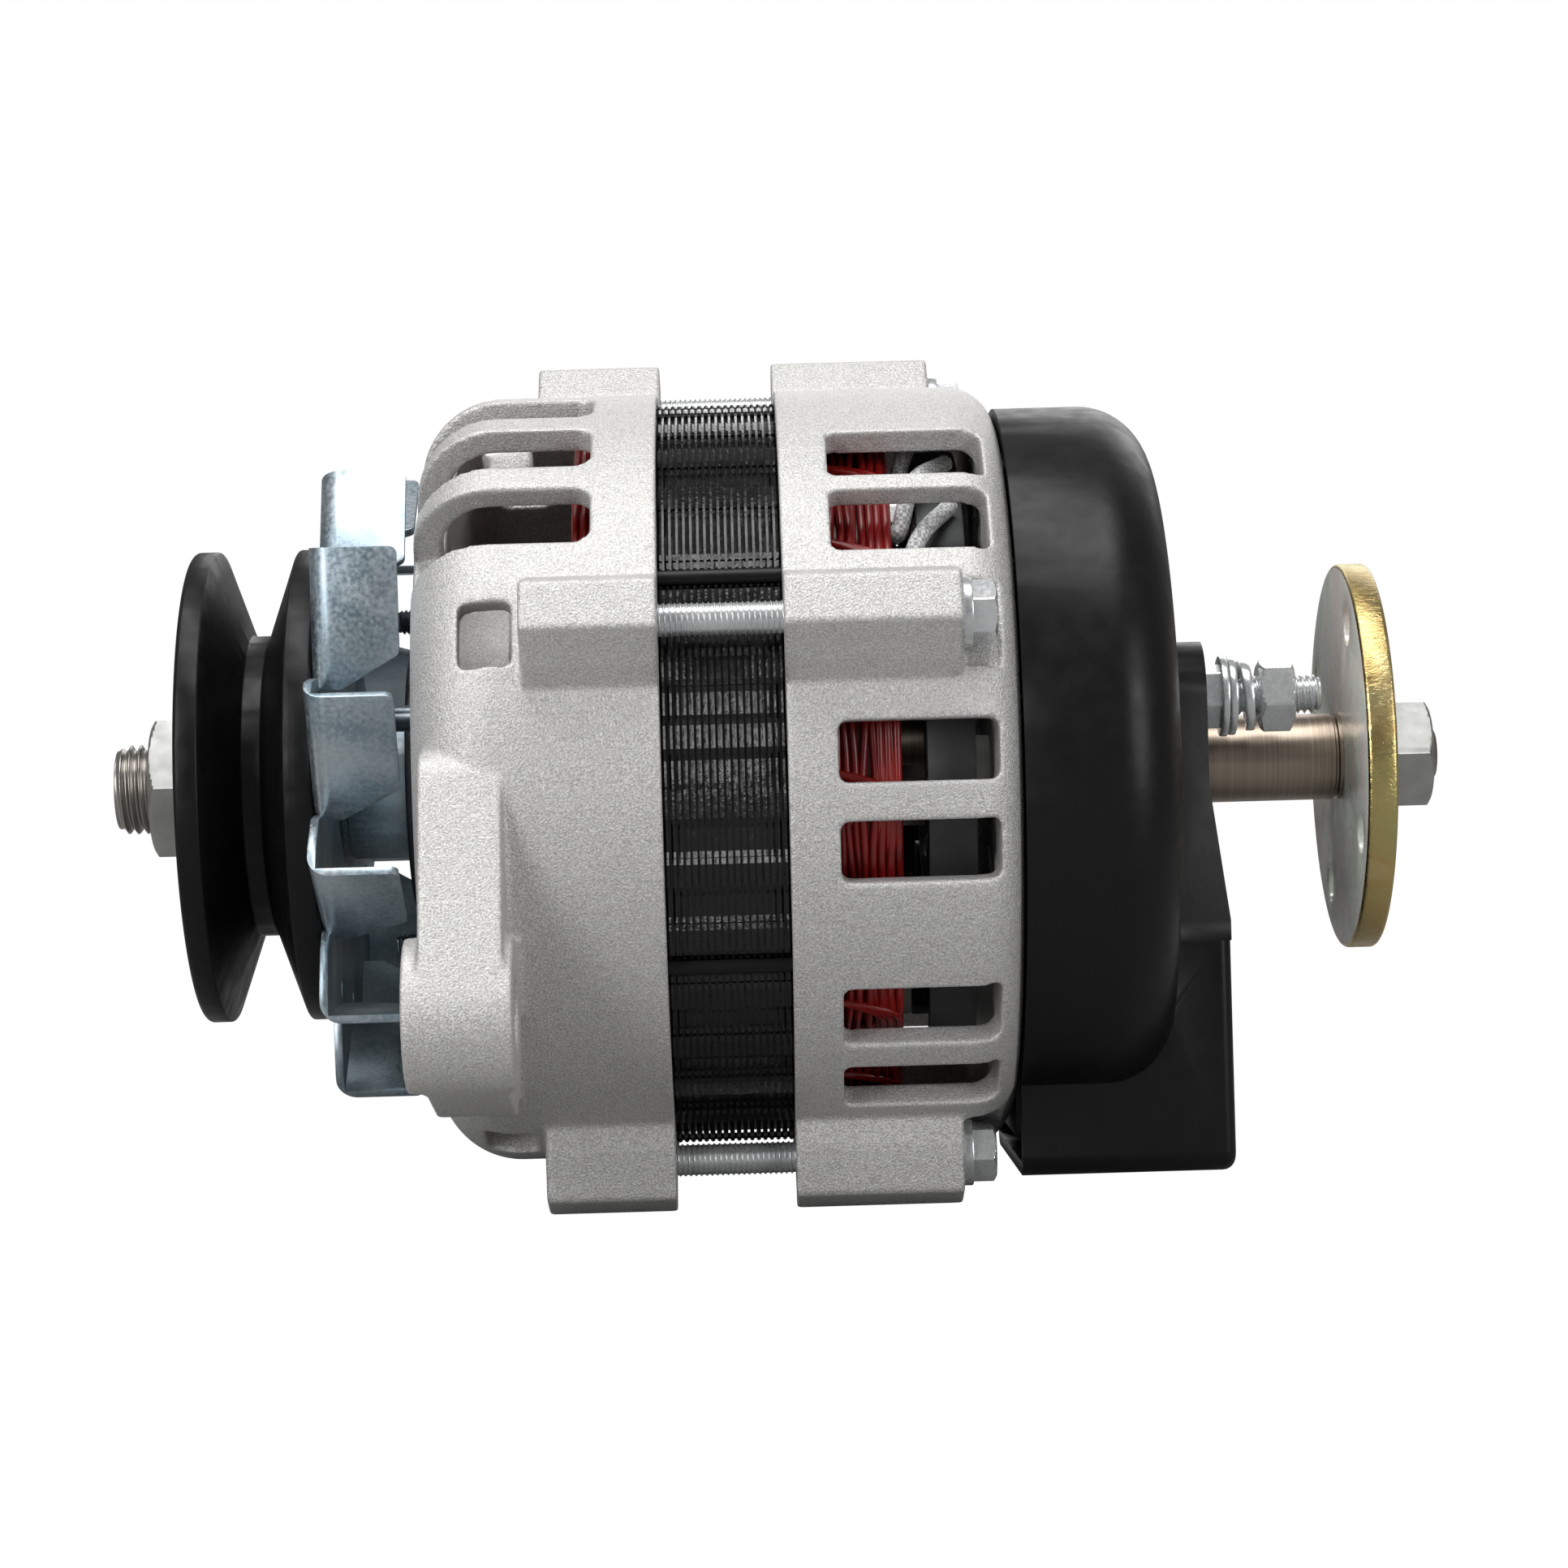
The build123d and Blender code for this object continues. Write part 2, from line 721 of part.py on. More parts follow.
def make_front_bracket():
    wall_inner = bracket_front + front_wall
    bearing_back = front_bearing_start + front_bearing_width
    face_edge = bracket_radius - front_shoulder
    with BuildPart() as bracket:
        with BuildSketch(Plane.XZ) as outer:
            with BuildLine():
                Polyline(
                    (front_gap_edge, 0),
                    (front_gap_edge, bracket_radius),
                    (bracket_front + front_face_dish, bracket_radius),
                    (bracket_front, hub_radius),
                    (bracket_front, 0),
                    close=True,
                )
            make_face()
            corner = outer.vertices().sort_by_distance((bracket_front, bracket_radius, 0))[0]
            fillet(corner, front_shoulder)
        revolve(axis=Axis.X)
        with BuildSketch(across(front_boss_end)):
            with PolarLocations(bolt_circle, bolt_count, start_angle=first_bolt_angle):
                Polygon(*boss_outline, align=None)
        extrude(amount=front_gap_edge - front_boss_end)
        with BuildSketch(across(pad_front)):
            with Locations((pivot_ear_y, pivot_ear_z)):
                Circle(pivot_ear_radius)
            with Locations(*pad_feet):
                Circle(pad_foot_radius)
            make_hull()
        extrude(amount=pad_end - pad_front)
        with BuildSketch(across(bracket_front)):
            with Locations((pivot_ear_y, pivot_ear_z)):
                Circle(pivot_ear_radius)
        extrude(amount=pivot_ear_end - bracket_front)
        with BuildSketch(across(adjuster_front)):
            with Locations((adjuster_y, adjuster_z)):
                Circle(adjuster_radius)
            with Locations(*adjuster_feet):
                Circle(adjuster_radius)
            make_hull()
        extrude(amount=adjuster_end - adjuster_front)
        # Cavity, left with the bearing hub standing in it
        with BuildSketch(Plane.XZ) as cavity:
            with BuildLine():
                Polyline(
                    (front_gap_edge, 0),
                    (front_gap_edge, stator_radius),
                    (front_stack_seat, stator_radius),
                    (front_stack_seat, bracket_inner_radius),
                    (wall_inner, bracket_inner_radius),
                    (wall_inner, hub_radius),
                    (bearing_back, hub_radius),
                    (bearing_back, 0),
                    close=True,
                )
            make_face()
            corner = cavity.vertices().sort_by_distance((wall_inner, bracket_inner_radius, 0))[0]
            fillet(corner, front_inner_shoulder)
        revolve(axis=Axis.X, mode=Mode.SUBTRACT)
        # Bearing seat, with a lip in front of the outer ring
        with BuildSketch(across(front_bearing_start)):
            Circle(front_bearing_radius)
        extrude(amount=front_bearing_width, mode=Mode.SUBTRACT)
        with BuildSketch(across(bracket_front)):
            Circle(front_bearing_radius - lip)
        extrude(amount=front_wall, mode=Mode.SUBTRACT)
        # Cooling slots wrap over the shoulder
        slot_length = front_slot_start - (bracket_front - front_wall)
        slot_middle = front_slot_start - slot_length / 2
        for half_turn in (0, 180):
            for angle in front_slot_angles:
                with BuildSketch(radial_plane(angle + half_turn, slot_floor, slot_middle)):
                    RectangleRounded(slot_length, front_slot_width, slot_corner)
                extrude(amount=front_shoulder * 2, mode=Mode.SUBTRACT)
        # A small window in front of each through-bolt boss
        pocket_length = pocket_window_end - pocket_window_start
        pocket_middle = (pocket_window_start + pocket_window_end) / 2
        for number in range(bolt_count):
            angle = first_bolt_angle + number * 360 / bolt_count
            with BuildSketch(radial_plane(angle, slot_floor, pocket_middle)):
                RectangleRounded(pocket_length, pocket_window_width, slot_corner / 2)
            extrude(amount=front_shoulder * 2, mode=Mode.SUBTRACT)
        # One more window above the adjusting ear
        far_length = far_window_end - far_window_start
        with BuildSketch(radial_plane(far_window_angle, slot_floor, far_window_start + far_length / 2)):
            RectangleRounded(far_length, far_window_width, slot_corner)
        extrude(amount=front_shoulder * 2, mode=Mode.SUBTRACT)
        # Tapped holes for the through bolts and for the retainer's screws
        with BuildSketch(across(front_gap_edge)):
            with PolarLocations(bolt_circle, bolt_count, start_angle=first_bolt_angle):
                Circle(bolt_radius + seat_gap)
        extrude(amount=bolt_end - bolt_hole_spare - front_gap_edge, mode=Mode.SUBTRACT)
        with BuildSketch(across(bracket_front)):
            with PolarLocations(retainer_circle, retainer_screw_count, start_angle=first_bolt_angle):
                Circle(retainer_screw_radius + seat_gap)
        extrude(amount=bearing_back - bracket_front, mode=Mode.SUBTRACT)
        # Ear holes
        with BuildSketch(across(bracket_front)):
            with Locations((pivot_ear_y, pivot_ear_z)):
                Circle(pivot_hole_radius)
        extrude(amount=pivot_ear_end - bracket_front, mode=Mode.SUBTRACT)
        with BuildSketch(across(adjuster_front)):
            with Locations((adjuster_y, adjuster_z)):
                Circle(adjuster_hole_radius)
        extrude(amount=adjuster_end - adjuster_front, mode=Mode.SUBTRACT)
    finish(bracket, "front_bracket")


def make_rear_bracket():
    bearing_end = rear_bearing_start + rear_bearing_width
    with BuildPart() as bracket:
        with BuildSketch(Plane.XZ) as outer:
            with BuildLine():
                Polyline(
                    (rear_gap_edge, 0),
                    (rear_gap_edge, bracket_radius),
                    (rear_wall_outer, bracket_radius),
                    (rear_wall_outer, 0),
                    close=True,
                )
            make_face()
            corner = outer.vertices().sort_by_distance((rear_wall_outer, bracket_radius, 0))[0]
            fillet(corner, rear_shoulder)
        revolve(axis=Axis.X)
        with BuildSketch(across(rear_gap_edge)):
            with PolarLocations(bolt_circle, bolt_count, start_angle=first_bolt_angle):
                Polygon(*boss_outline, align=None)
        extrude(amount=rear_boss_end - rear_gap_edge)
        with BuildSketch(Plane.XZ) as cavity:
            with BuildLine():
                Polyline(
                    (rear_gap_edge, 0),
                    (rear_gap_edge, stator_radius),
                    (rear_stack_seat, stator_radius),
                    (rear_stack_seat, bracket_inner_radius),
                    (rear_wall_inner, bracket_inner_radius),
                    (rear_wall_inner, rear_hub_radius),
                    (rear_bearing_start, rear_hub_radius),
                    (rear_bearing_start, 0),
                    close=True,
                )
            make_face()
            corner = cavity.vertices().sort_by_distance((rear_wall_inner, bracket_inner_radius, 0))[0]
            fillet(corner, rear_shoulder / 2)
        revolve(axis=Axis.X, mode=Mode.SUBTRACT)
        with BuildSketch(across(rear_bearing_start)):
            Circle(rear_bearing_radius)
        extrude(amount=rear_bearing_width, mode=Mode.SUBTRACT)
        with BuildSketch(across(bearing_end)):
            Circle(rear_bearing_radius - lip)
        extrude(amount=rear_wall_outer - bearing_end, mode=Mode.SUBTRACT)
        # Windows between rounded ribs
        slot_length = rear_slot_end - rear_slot_start
        slot_middle = (rear_slot_end + rear_slot_start) / 2
        for half_turn in (0, 180):
            for angle, width in zip(rear_slot_angles, rear_slot_widths):
                with BuildSketch(radial_plane(angle + half_turn, slot_floor, slot_middle)):
                    RectangleRounded(slot_length, width, slot_corner / 2)
                extrude(amount=front_shoulder * 2, mode=Mode.SUBTRACT)
        # Open-ended pocket for each through bolt's head
        pocket_length = pocket_end - rear_boss_end
        pocket_middle = (pocket_end + rear_boss_end) / 2
        for number in range(bolt_count):
            angle = first_bolt_angle + number * 360 / bolt_count
            with BuildSketch(radial_plane(angle, pocket_floor, pocket_middle)):
                Rectangle(pocket_length, pocket_width)
            extrude(amount=bolt_circle - pocket_floor + pocket_width, mode=Mode.SUBTRACT)
        with BuildSketch(across(rear_gap_edge)):
            with PolarLocations(bolt_circle, bolt_count, start_angle=first_bolt_angle):
                Circle(bolt_radius + screw_gap)
        extrude(amount=rear_boss_end - rear_gap_edge, mode=Mode.SUBTRACT)
        # Vents, rectifier bolts, output link, cover screws and regulator screws
        with BuildSketch(across(rear_wall_inner)):
            for angle in vent_angles:
                with PolarLocations(vent_circle, 1, start_angle=angle):
                    RectangleRounded(vent_length, vent_width, slot_corner)
            for angle in plate_bolt_angles:
                with PolarLocations(plate_bolt_circle, 1, start_angle=angle):
                    Circle(plate_bolt_radius + seat_gap)
            with PolarLocations(link_circle, 1, start_angle=link_angle):
                Circle(link_hole_radius)
            for angle in cover_post_angles:
                with PolarLocations(cover_post_circle, 1, start_angle=angle):
                    Circle(cover_screw_radius + seat_gap)
            with Locations((regulator_screw_y, regulator_screw_z), (-regulator_screw_y, regulator_screw_z)):
                Circle(regulator_screw_radius + seat_gap)
        extrude(amount=rear_wall_outer - rear_wall_inner, mode=Mode.SUBTRACT)
    finish(bracket, "rear_bracket")


def make_through_bolts():
    head_start = rear_boss_end + bolt_washer
    with BuildPart() as bolts:
        with BuildSketch(across(bolt_end)):
            with PolarLocations(bolt_circle, bolt_count, start_angle=first_bolt_angle):
                Circle(bolt_radius)
        extrude(amount=head_start - bolt_end)
        with BuildSketch(across(head_start)):
            with PolarLocations(bolt_circle, bolt_count, start_angle=first_bolt_angle):
                RegularPolygon(hexagon(bolt_head_flats), 6)
        extrude(amount=bolt_head_height)
    finish(bolts, "through_bolts")
    with BuildPart() as washers:
        with BuildSketch(across(rear_boss_end)):
            with PolarLocations(bolt_circle, bolt_count, start_angle=first_bolt_angle):
                Circle(bolt_washer_radius)
                Circle(bolt_radius + seat_gap, mode=Mode.SUBTRACT)
        extrude(amount=bolt_washer)
    finish(washers, "through_bolt_washers")


def make_retainer():
    plate_front = front_bearing_start + front_bearing_width
    plate_back = plate_front + retainer_sheet
    with BuildPart() as plate:
        with BuildSketch(across(plate_front)):
            Circle(hub_radius)
            Circle(retainer_inner, mode=Mode.SUBTRACT)
            with PolarLocations(retainer_circle, retainer_screw_count, start_angle=first_bolt_angle):
                Circle(retainer_screw_radius + seat_gap, mode=Mode.SUBTRACT)
        extrude(amount=retainer_sheet)
    finish(plate, "bearing_retainer")
    with BuildPart() as screws:
        with BuildSketch(across(retainer_screw_front)):
            with PolarLocations(retainer_circle, retainer_screw_count, start_angle=first_bolt_angle):
                Circle(retainer_screw_radius)
        extrude(amount=plate_back - retainer_screw_front)
        with BuildSketch(across(plate_back)):
            with PolarLocations(retainer_circle, retainer_screw_count, start_angle=first_bolt_angle):
                Circle(retainer_head_radius)
        extrude(amount=retainer_head_height)
    finish(screws, "retainer_screws")


def make_stator():
    with BuildPart() as core:
        with BuildSketch(across(front_stack_seat)):
            Circle(stator_radius)
            Circle(stator_bore, mode=Mode.SUBTRACT)
            with PolarLocations((stator_bore + stator_slot_floor) / 2, slot_count):
                slot_depth = stator_slot_floor - stator_bore + slot_spare * 2
                Rectangle(slot_depth, stator_slot_width, mode=Mode.SUBTRACT)
            # Grooves round the rim, some of them holding a weld bar
            with PolarLocations(stator_radius, slot_count, start_angle=first_rim_groove):
                Rectangle(rim_groove_depth * 2, rim_groove_width, mode=Mode.SUBTRACT)
            bar_circle = stator_radius - weld_bar_sink - rim_groove_depth
            with PolarLocations(bar_circle, weld_count, start_angle=first_rim_groove):
                Rectangle(rim_groove_depth * 2, weld_bar_width)
        extrude(amount=rear_stack_seat - front_stack_seat)
    finish(core, "stator_core")
    with BuildPart() as winding:
        for seat, end in ((front_stack_seat, front_end_turn), (rear_stack_seat, rear_end_turn)):
            with BuildSketch(Plane.XZ) as section:
                with BuildLine():
                    Polyline(
                        (seat, end_turn_inner),
                        (seat, end_turn_outer),
                        (end, end_turn_outer),
                        (end, end_turn_inner),
                        close=True,
                    )
                make_face()
                end_middle = (end, (end_turn_inner + end_turn_outer) / 2, 0)
                fillet(section.vertices().sort_by_distance(end_middle)[:2], end_turn_round)
            revolve(axis=Axis.X)
        with BuildSketch(across(front_stack_seat)):
            with PolarLocations((wire_leg_inner + stator_slot_floor) / 2, slot_count):
                Rectangle(stator_slot_floor - wire_leg_inner, wire_leg_width)
        extrude(amount=rear_stack_seat - front_stack_seat)
    finish(winding, "stator_winding")


def make_rectifier():
    with BuildPart() as plate:
        with BuildSketch(across(plate_face)):
            Circle(plate_outer)
            Circle(plate_inner, mode=Mode.SUBTRACT)
        extrude(amount=plate_thickness)
        with BuildSketch(across(plate_rim_start)):
            Circle(plate_outer)
            Circle(plate_outer - plate_rim, mode=Mode.SUBTRACT)
        extrude(amount=plate_face - plate_rim_start)
        # The plate is open at the bottom
        with BuildSketch(across(plate_rim_start)):
            gap_start = outward(270 - plate_gap_angle / 2) * plate_outer * 2
            gap_end = outward(270 + plate_gap_angle / 2) * plate_outer * 2
            with BuildLine():
                Polyline(
                    (0, 0),
                    (gap_start.Y, gap_start.Z),
                    (gap_end.Y, gap_end.Z),
                    close=True,
                )
            make_face()
        extrude(amount=plate_thickness + plate_face - plate_rim_start, mode=Mode.SUBTRACT)
        with BuildSketch(across(plate_face)):
            for angle in plate_bolt_angles:
                with PolarLocations(plate_bolt_circle, 1, start_angle=angle):
                    Circle(plate_bolt_radius + seat_gap)
            for angle in diode_angles:
                with PolarLocations(diode_circle, 1, start_angle=angle):
                    Circle(diode_radius)
            with PolarLocations(link_circle, 1, start_angle=link_angle):
                Circle(link_radius + seat_gap)
        extrude(amount=plate_thickness, mode=Mode.SUBTRACT)
    finish(plate, "rectifier_heat_sink")
    with BuildPart() as diodes:
        with BuildSketch(across(plate_face - diode_proud)):
            for angle in diode_angles:
                with PolarLocations(diode_circle, 1, start_angle=angle):
                    Circle(diode_radius)
        extrude(amount=plate_thickness + diode_proud)
    finish(diodes, "rectifier_diodes")
    with BuildPart() as insulators:
        with BuildSketch(across(plate_face + plate_thickness)):
            for angle in plate_bolt_angles:
                with PolarLocations(plate_bolt_circle, 1, start_angle=angle):
                    Circle(insulator_radius)
                    Circle(plate_bolt_radius + seat_gap, mode=Mode.SUBTRACT)
        extrude(amount=rear_wall_inner - plate_face - plate_thickness)
    finish(insulators, "rectifier_insulators")
    with BuildPart() as bolts:
        with BuildSketch(across(plate_face)):
            for angle in plate_bolt_angles:
                with PolarLocations(plate_bolt_circle, 1, start_angle=angle):
                    Circle(plate_bolt_radius)
        extrude(amount=rear_wall_outer - plate_face)
        with BuildSketch(across(plate_face)):
            for angle in plate_bolt_angles:
                with PolarLocations(plate_bolt_circle, 1, start_angle=angle):
                    RegularPolygon(plate_bolt_head_radius, 6)
        extrude(amount=-plate_bolt_head)
    finish(bolts, "rectifier_bolts")


def make_leads():
    with BuildPart() as leads:
        for angle in lead_angles:
            stops = (
                (rear_end_turn, lead_root, angle),
                (rear_end_turn + lead_rise, lead_root, angle),
                (plate_rim_start, lead_crest, angle - lead_crest_turn),
                (lead_end, plate_outer + lead_radius, angle - lead_end_turn),
            )
            points = [outward(turn) * radius + Vector(x, 0, 0) for x, radius, turn in stops]
            with BuildLine() as route:
                Polyline(*points)
            with BuildSketch(Plane(origin=points[0], z_dir=(1, 0, 0))):
                Circle(lead_radius)
            sweep(path=route.line, transition=Transition.ROUND)
    finish(leads, "stator_leads")


def make_rear_cover():
    hump_middle = (hump_top + hump_bottom) / 2
    inner_face = dome_face - cover_wall
    with BuildPart() as cover:
        with BuildSketch(Plane.XZ) as dome:
            with BuildLine():
                Polyline(
                    (cover_rim, 0),
                    (cover_rim, cover_radius),
                    (dome_face, cover_radius),
                    (dome_face, 0),
                    close=True,
                )
            make_face()
            fillet(dome.vertices().sort_by_distance((dome_face, cover_radius, 0))[0], dome_round)
        revolve(axis=Axis.X)
        with BuildSketch(across(cover_rim)) as hump:
            with Locations((0, hump_middle)):
                RectangleRounded(hump_half_width * 2, hump_top - hump_bottom, hump_round)
        extrude(amount=hump_face - cover_rim)
        fillet(cover.faces().sort_by(Axis.X)[-1].edges(), hump_face_round)
        with BuildSketch(across(dome_face)):
            with Locations((terminal_y, terminal_z)):
                Circle(terminal_boss_radius)
        extrude(amount=terminal_face - dome_face)
        # The neck from the terminal down to the hump, sloping out to meet its face
        with BuildPart():
            neck_outer = terminal_y - terminal_boss_radius
            with BuildSketch(across(dome_face)):
                with BuildLine():
                    Polyline(
                        (neck_outer, terminal_z),
                        (neck_inner, terminal_z),
                        (neck_inner, hump_top),
                        (neck_inner, hump_top - neck_step),
                        (-hump_half_width, hump_top - neck_step),
                        (-hump_half_width, hump_top),
                        (neck_outer, neck_foot),
                        close=True,
                    )
                make_face()
            extrude(amount=hump_face - dome_face)
            with BuildSketch(Plane.XZ):
                with BuildLine():
                    Polyline(
                        (terminal_face, cover_radius),
                        (terminal_face, neck_foot),
                        (hump_face, hump_top),
                        (hump_face, cover_radius),
                        close=True,
                    )
                make_face()
            extrude(amount=hump_half_width, both=True, mode=Mode.SUBTRACT)
        # Hollow inside
        with BuildSketch(Plane.XZ) as hollow:
            with BuildLine():
                Polyline(
                    (cover_rim, 0),
                    (cover_rim, cover_radius - cover_wall),
                    (inner_face, cover_radius - cover_wall),
                    (inner_face, 0),
                    close=True,
                )
            make_face()
            corner = hollow.vertices().sort_by_distance((inner_face, cover_radius - cover_wall, 0))[0]
            fillet(corner, dome_round - cover_wall)
        revolve(axis=Axis.X, mode=Mode.SUBTRACT)
        with BuildSketch(across(cover_rim)):
            with Locations((0, hump_middle)):
                RectangleRounded(
                    (hump_half_width - cover_wall) * 2,
                    hump_top - hump_bottom - cover_wall * 2,
                    hump_round - cover_wall / 2,
                )
        extrude(amount=hump_face - cover_wall - cover_rim, mode=Mode.SUBTRACT)
        # Posts for the cover's screws
        with BuildSketch(across(rear_wall_outer)):
            for angle in cover_post_angles:
                with PolarLocations(cover_post_circle, 1, start_angle=angle):
                    Circle(cover_post_radius)
        extrude(amount=inner_face + post_root - rear_wall_outer)
        with BuildSketch(across(rear_wall_outer)):
            for angle in cover_post_angles:
                with PolarLocations(cover_post_circle, 1, start_angle=angle):
                    Circle(cover_screw_radius + screw_gap)
        extrude(amount=dome_face - rear_wall_outer, mode=Mode.SUBTRACT)
        with BuildSketch(across(dome_face)):
            for angle in cover_post_angles:
                with PolarLocations(cover_post_circle, 1, start_angle=angle):
                    Circle(cover_screw_head + screw_gap)
        extrude(amount=-cover_screw_sink, mode=Mode.SUBTRACT)
        with BuildSketch(across(cover_rim)):
            Circle(shaft_hole_radius)
            with Locations((terminal_y, terminal_z)):
                Circle(terminal_radius + seat_gap)
        extrude(amount=terminal_face - cover_rim, mode=Mode.SUBTRACT)
    finish(cover, "rear_cover")
    with BuildPart() as screws:
        with BuildSketch(across(rear_wall_inner)):
            for angle in cover_post_angles:
                with PolarLocations(cover_post_circle, 1, start_angle=angle):
                    Circle(cover_screw_radius)
        extrude(amount=dome_face - cover_screw_sink - rear_wall_inner)
        with BuildSketch(across(dome_face - cover_screw_sink)):
            for angle in cover_post_angles:
                with PolarLocations(cover_post_circle, 1, start_angle=angle):
                    Circle(cover_screw_head)
        extrude(amount=cover_screw_head_height)
    finish(screws, "cover_screws")


def make_terminal():
    inner_face = dome_face - cover_wall
    bar_face = inner_face - busbar
    with BuildPart() as stud:
        with BuildSketch(across(bar_face)):
            with Locations((terminal_y, terminal_z)):
                Circle(terminal_radius)
        extrude(amount=terminal_end - bar_face)
        chamfer(stud.edges().sort_by(Axis.X)[-1], terminal_chamfer)
        with BuildSketch(across(bar_face)):
            with Locations((terminal_y, terminal_z)):
                RegularPolygon(hexagon(terminal_nut_flats), 6)
        extrude(amount=-terminal_head)
    finish(stud, "terminal_stud")
    link = outward(link_angle) * link_circle
    with BuildPart() as bar:
        with BuildSketch(across(bar_face)):
            with Locations((terminal_y, terminal_z), (link.Y, link.Z)):
                Circle(busbar_width / 2)
            make_hull()
            with Locations((terminal_y, terminal_z)):
                Circle(terminal_radius + seat_gap, mode=Mode.SUBTRACT)
            with Locations((link.Y, link.Z)):
                Circle(link_radius + seat_gap, mode=Mode.SUBTRACT)
        extrude(amount=busbar)
    finish(bar, "output_busbar")
    with BuildPart() as link_bolt:
        with BuildSketch(across(plate_face)):
            with Locations((link.Y, link.Z)):
                Circle(link_radius)
        extrude(amount=inner_face - plate_face)
        with BuildSketch(across(plate_face)):
            with Locations((link.Y, link.Z)):
                RegularPolygon(hexagon(bolt_head_flats), 6)
        extrude(amount=-plate_bolt_head)
    finish(link_bolt, "output_link_bolt")
    nut("output_link_nut", bar_face - link_nut, bar_face, bolt_head_flats, link_radius + seat_gap, link.Y, link.Z)
    base_end = terminal_face + base_nut_height
    with BuildPart() as base:
        with BuildSketch(across(terminal_face)):
            with Locations((terminal_y, terminal_z)):
                RegularPolygon(base_nut_radius, 6)
                Circle(terminal_radius + seat_gap, mode=Mode.SUBTRACT)
        extrude(amount=base_nut_height)
    finish(base, "terminal_base_nut")
    with BuildPart() as washers:
        for number in range(2):
            with BuildSketch(across(base_end + number * terminal_washer)):
                with Locations((terminal_y, terminal_z)):
                    Circle(terminal_washer_radius - number * outer_washer_step)
                    Circle(terminal_radius + seat_gap, mode=Mode.SUBTRACT)
            extrude(amount=terminal_washer)
    finish(washers, "terminal_washers")
    spring_start = base_end + terminal_washer * 2
    spring_middle = Vector(spring_start + spring_washer_room / 2, terminal_y, terminal_z)
    tilted = Plane(origin=spring_middle, x_dir=(0, 1, 0), z_dir=(1, 0, 0)).rotated((0, spring_washer_tilt, 0))
    with BuildPart() as spring:
        with BuildSketch(tilted):
            Circle(spring_washer_radius)
            Circle(spring_washer_bore, mode=Mode.SUBTRACT)
            with Locations((spring_washer_radius, 0)):
                Rectangle(spring_washer_radius, spring_washer_slit, mode=Mode.SUBTRACT)
        extrude(amount=spring_washer_wire / 2, both=True)
    finish(spring, "terminal_spring_washer")
    nut_start = spring_start + spring_washer_room
    nut("terminal_nut", nut_start, nut_start + terminal_nut_height, terminal_nut_flats,
        terminal_radius + seat_gap, terminal_y, terminal_z)


def make_brush_gear():
    with BuildPart() as brushes:
        for middle in ring_stations:
            with BuildSketch(Plane.XY.offset(brush_bottom)):
                with Locations((middle, 0)):
                    Rectangle(brush_length, brush_width)
            extrude(amount=-brush_bottom)
        with BuildSketch(across(ring_hub_start)):
            Circle(ring_radius + brush_gap)
        extrude(amount=ring_hub_end - ring_hub_start, mode=Mode.SUBTRACT)
    finish(brushes, "brushes")
    with BuildPart() as holder:
        with BuildSketch(across(rear_wall_outer)):
            with Locations((0, (holder_top + holder_bottom) / 2)):
                Rectangle(holder_half_width * 2, holder_top - holder_bottom)
        extrude(amount=ring_hub_end - rear_wall_outer)
        with BuildSketch(Plane.XY.offset(brush_bottom)):
            for middle in ring_stations:
                with Locations((middle, 0)):
                    Rectangle(brush_length + brush_gap * 2, brush_width + brush_gap * 2)
        extrude(amount=holder_top - brush_bottom, mode=Mode.SUBTRACT)
    finish(holder, "brush_holder")
    with BuildPart() as regulator:
        with BuildSketch(across(rear_wall_outer)):
            with Locations((0, (holder_bottom + regulator_bottom) / 2)):
                Rectangle(regulator_half_width * 2, holder_bottom - regulator_bottom)
        extrude(amount=regulator_end - rear_wall_outer)
        with BuildSketch(across(regulator_end)):
            with Locations((0, (holder_bottom + regulator_bottom) / 2 - fin_drop)):
                with GridLocations(0, fin_pitch, 1, regulator_fins - 1):
                    Rectangle(regulator_half_width * 2, fin_gap)
        extrude(amount=-fin_depth, mode=Mode.SUBTRACT)
        with BuildSketch(across(rear_wall_outer)):
            with Locations((regulator_screw_y, regulator_screw_z), (-regulator_screw_y, regulator_screw_z)):
                Circle(regulator_screw_radius + seat_gap)
        extrude(amount=regulator_end - fin_depth - rear_wall_outer, mode=Mode.SUBTRACT)
    finish(regulator, "voltage_regulator")
    with BuildPart() as screws:
        with BuildSketch(across(rear_wall_inner)):
            with Locations((regulator_screw_y, regulator_screw_z), (-regulator_screw_y, regulator_screw_z)):
                Circle(regulator_screw_radius)
        extrude(amount=regulator_end - fin_depth - rear_wall_inner)
    finish(screws, "regulator_screws")


make_shaft()
make_pulley()
make_key()
make_fan()
make_collar_and_disc()
make_bearing("front", front_bearing_start, front_bearing_width, front_bearing_radius, front_ball_radius)
make_bearing("rear", rear_bearing_start, rear_bearing_width, rear_bearing_radius, rear_ball_radius)
make_pole("front_claw_pole", front_pole_face, 1, 0)
make_pole("rear_claw_pole", rear_pole_face, -1, 180 / pole_fingers)
make_coil()
make_inner_fan()
make_slip_rings()
make_drive_flange()
nut("front_nut", front_nut_outer, pulley_hub_face, front_nut_flats, front_thread_radius)
nut("rear_nut", 0, rear_nut_height, rear_nut_flats, rear_thread_radius)
make_front_bracket()
make_rear_bracket()
make_through_bolts()
make_retainer()
make_stator()
make_rectifier()
make_leads()
make_rear_cover()
make_terminal()
make_brush_gear()
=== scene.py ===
import math
import random

import bpy
from mathutils import Matrix, Vector


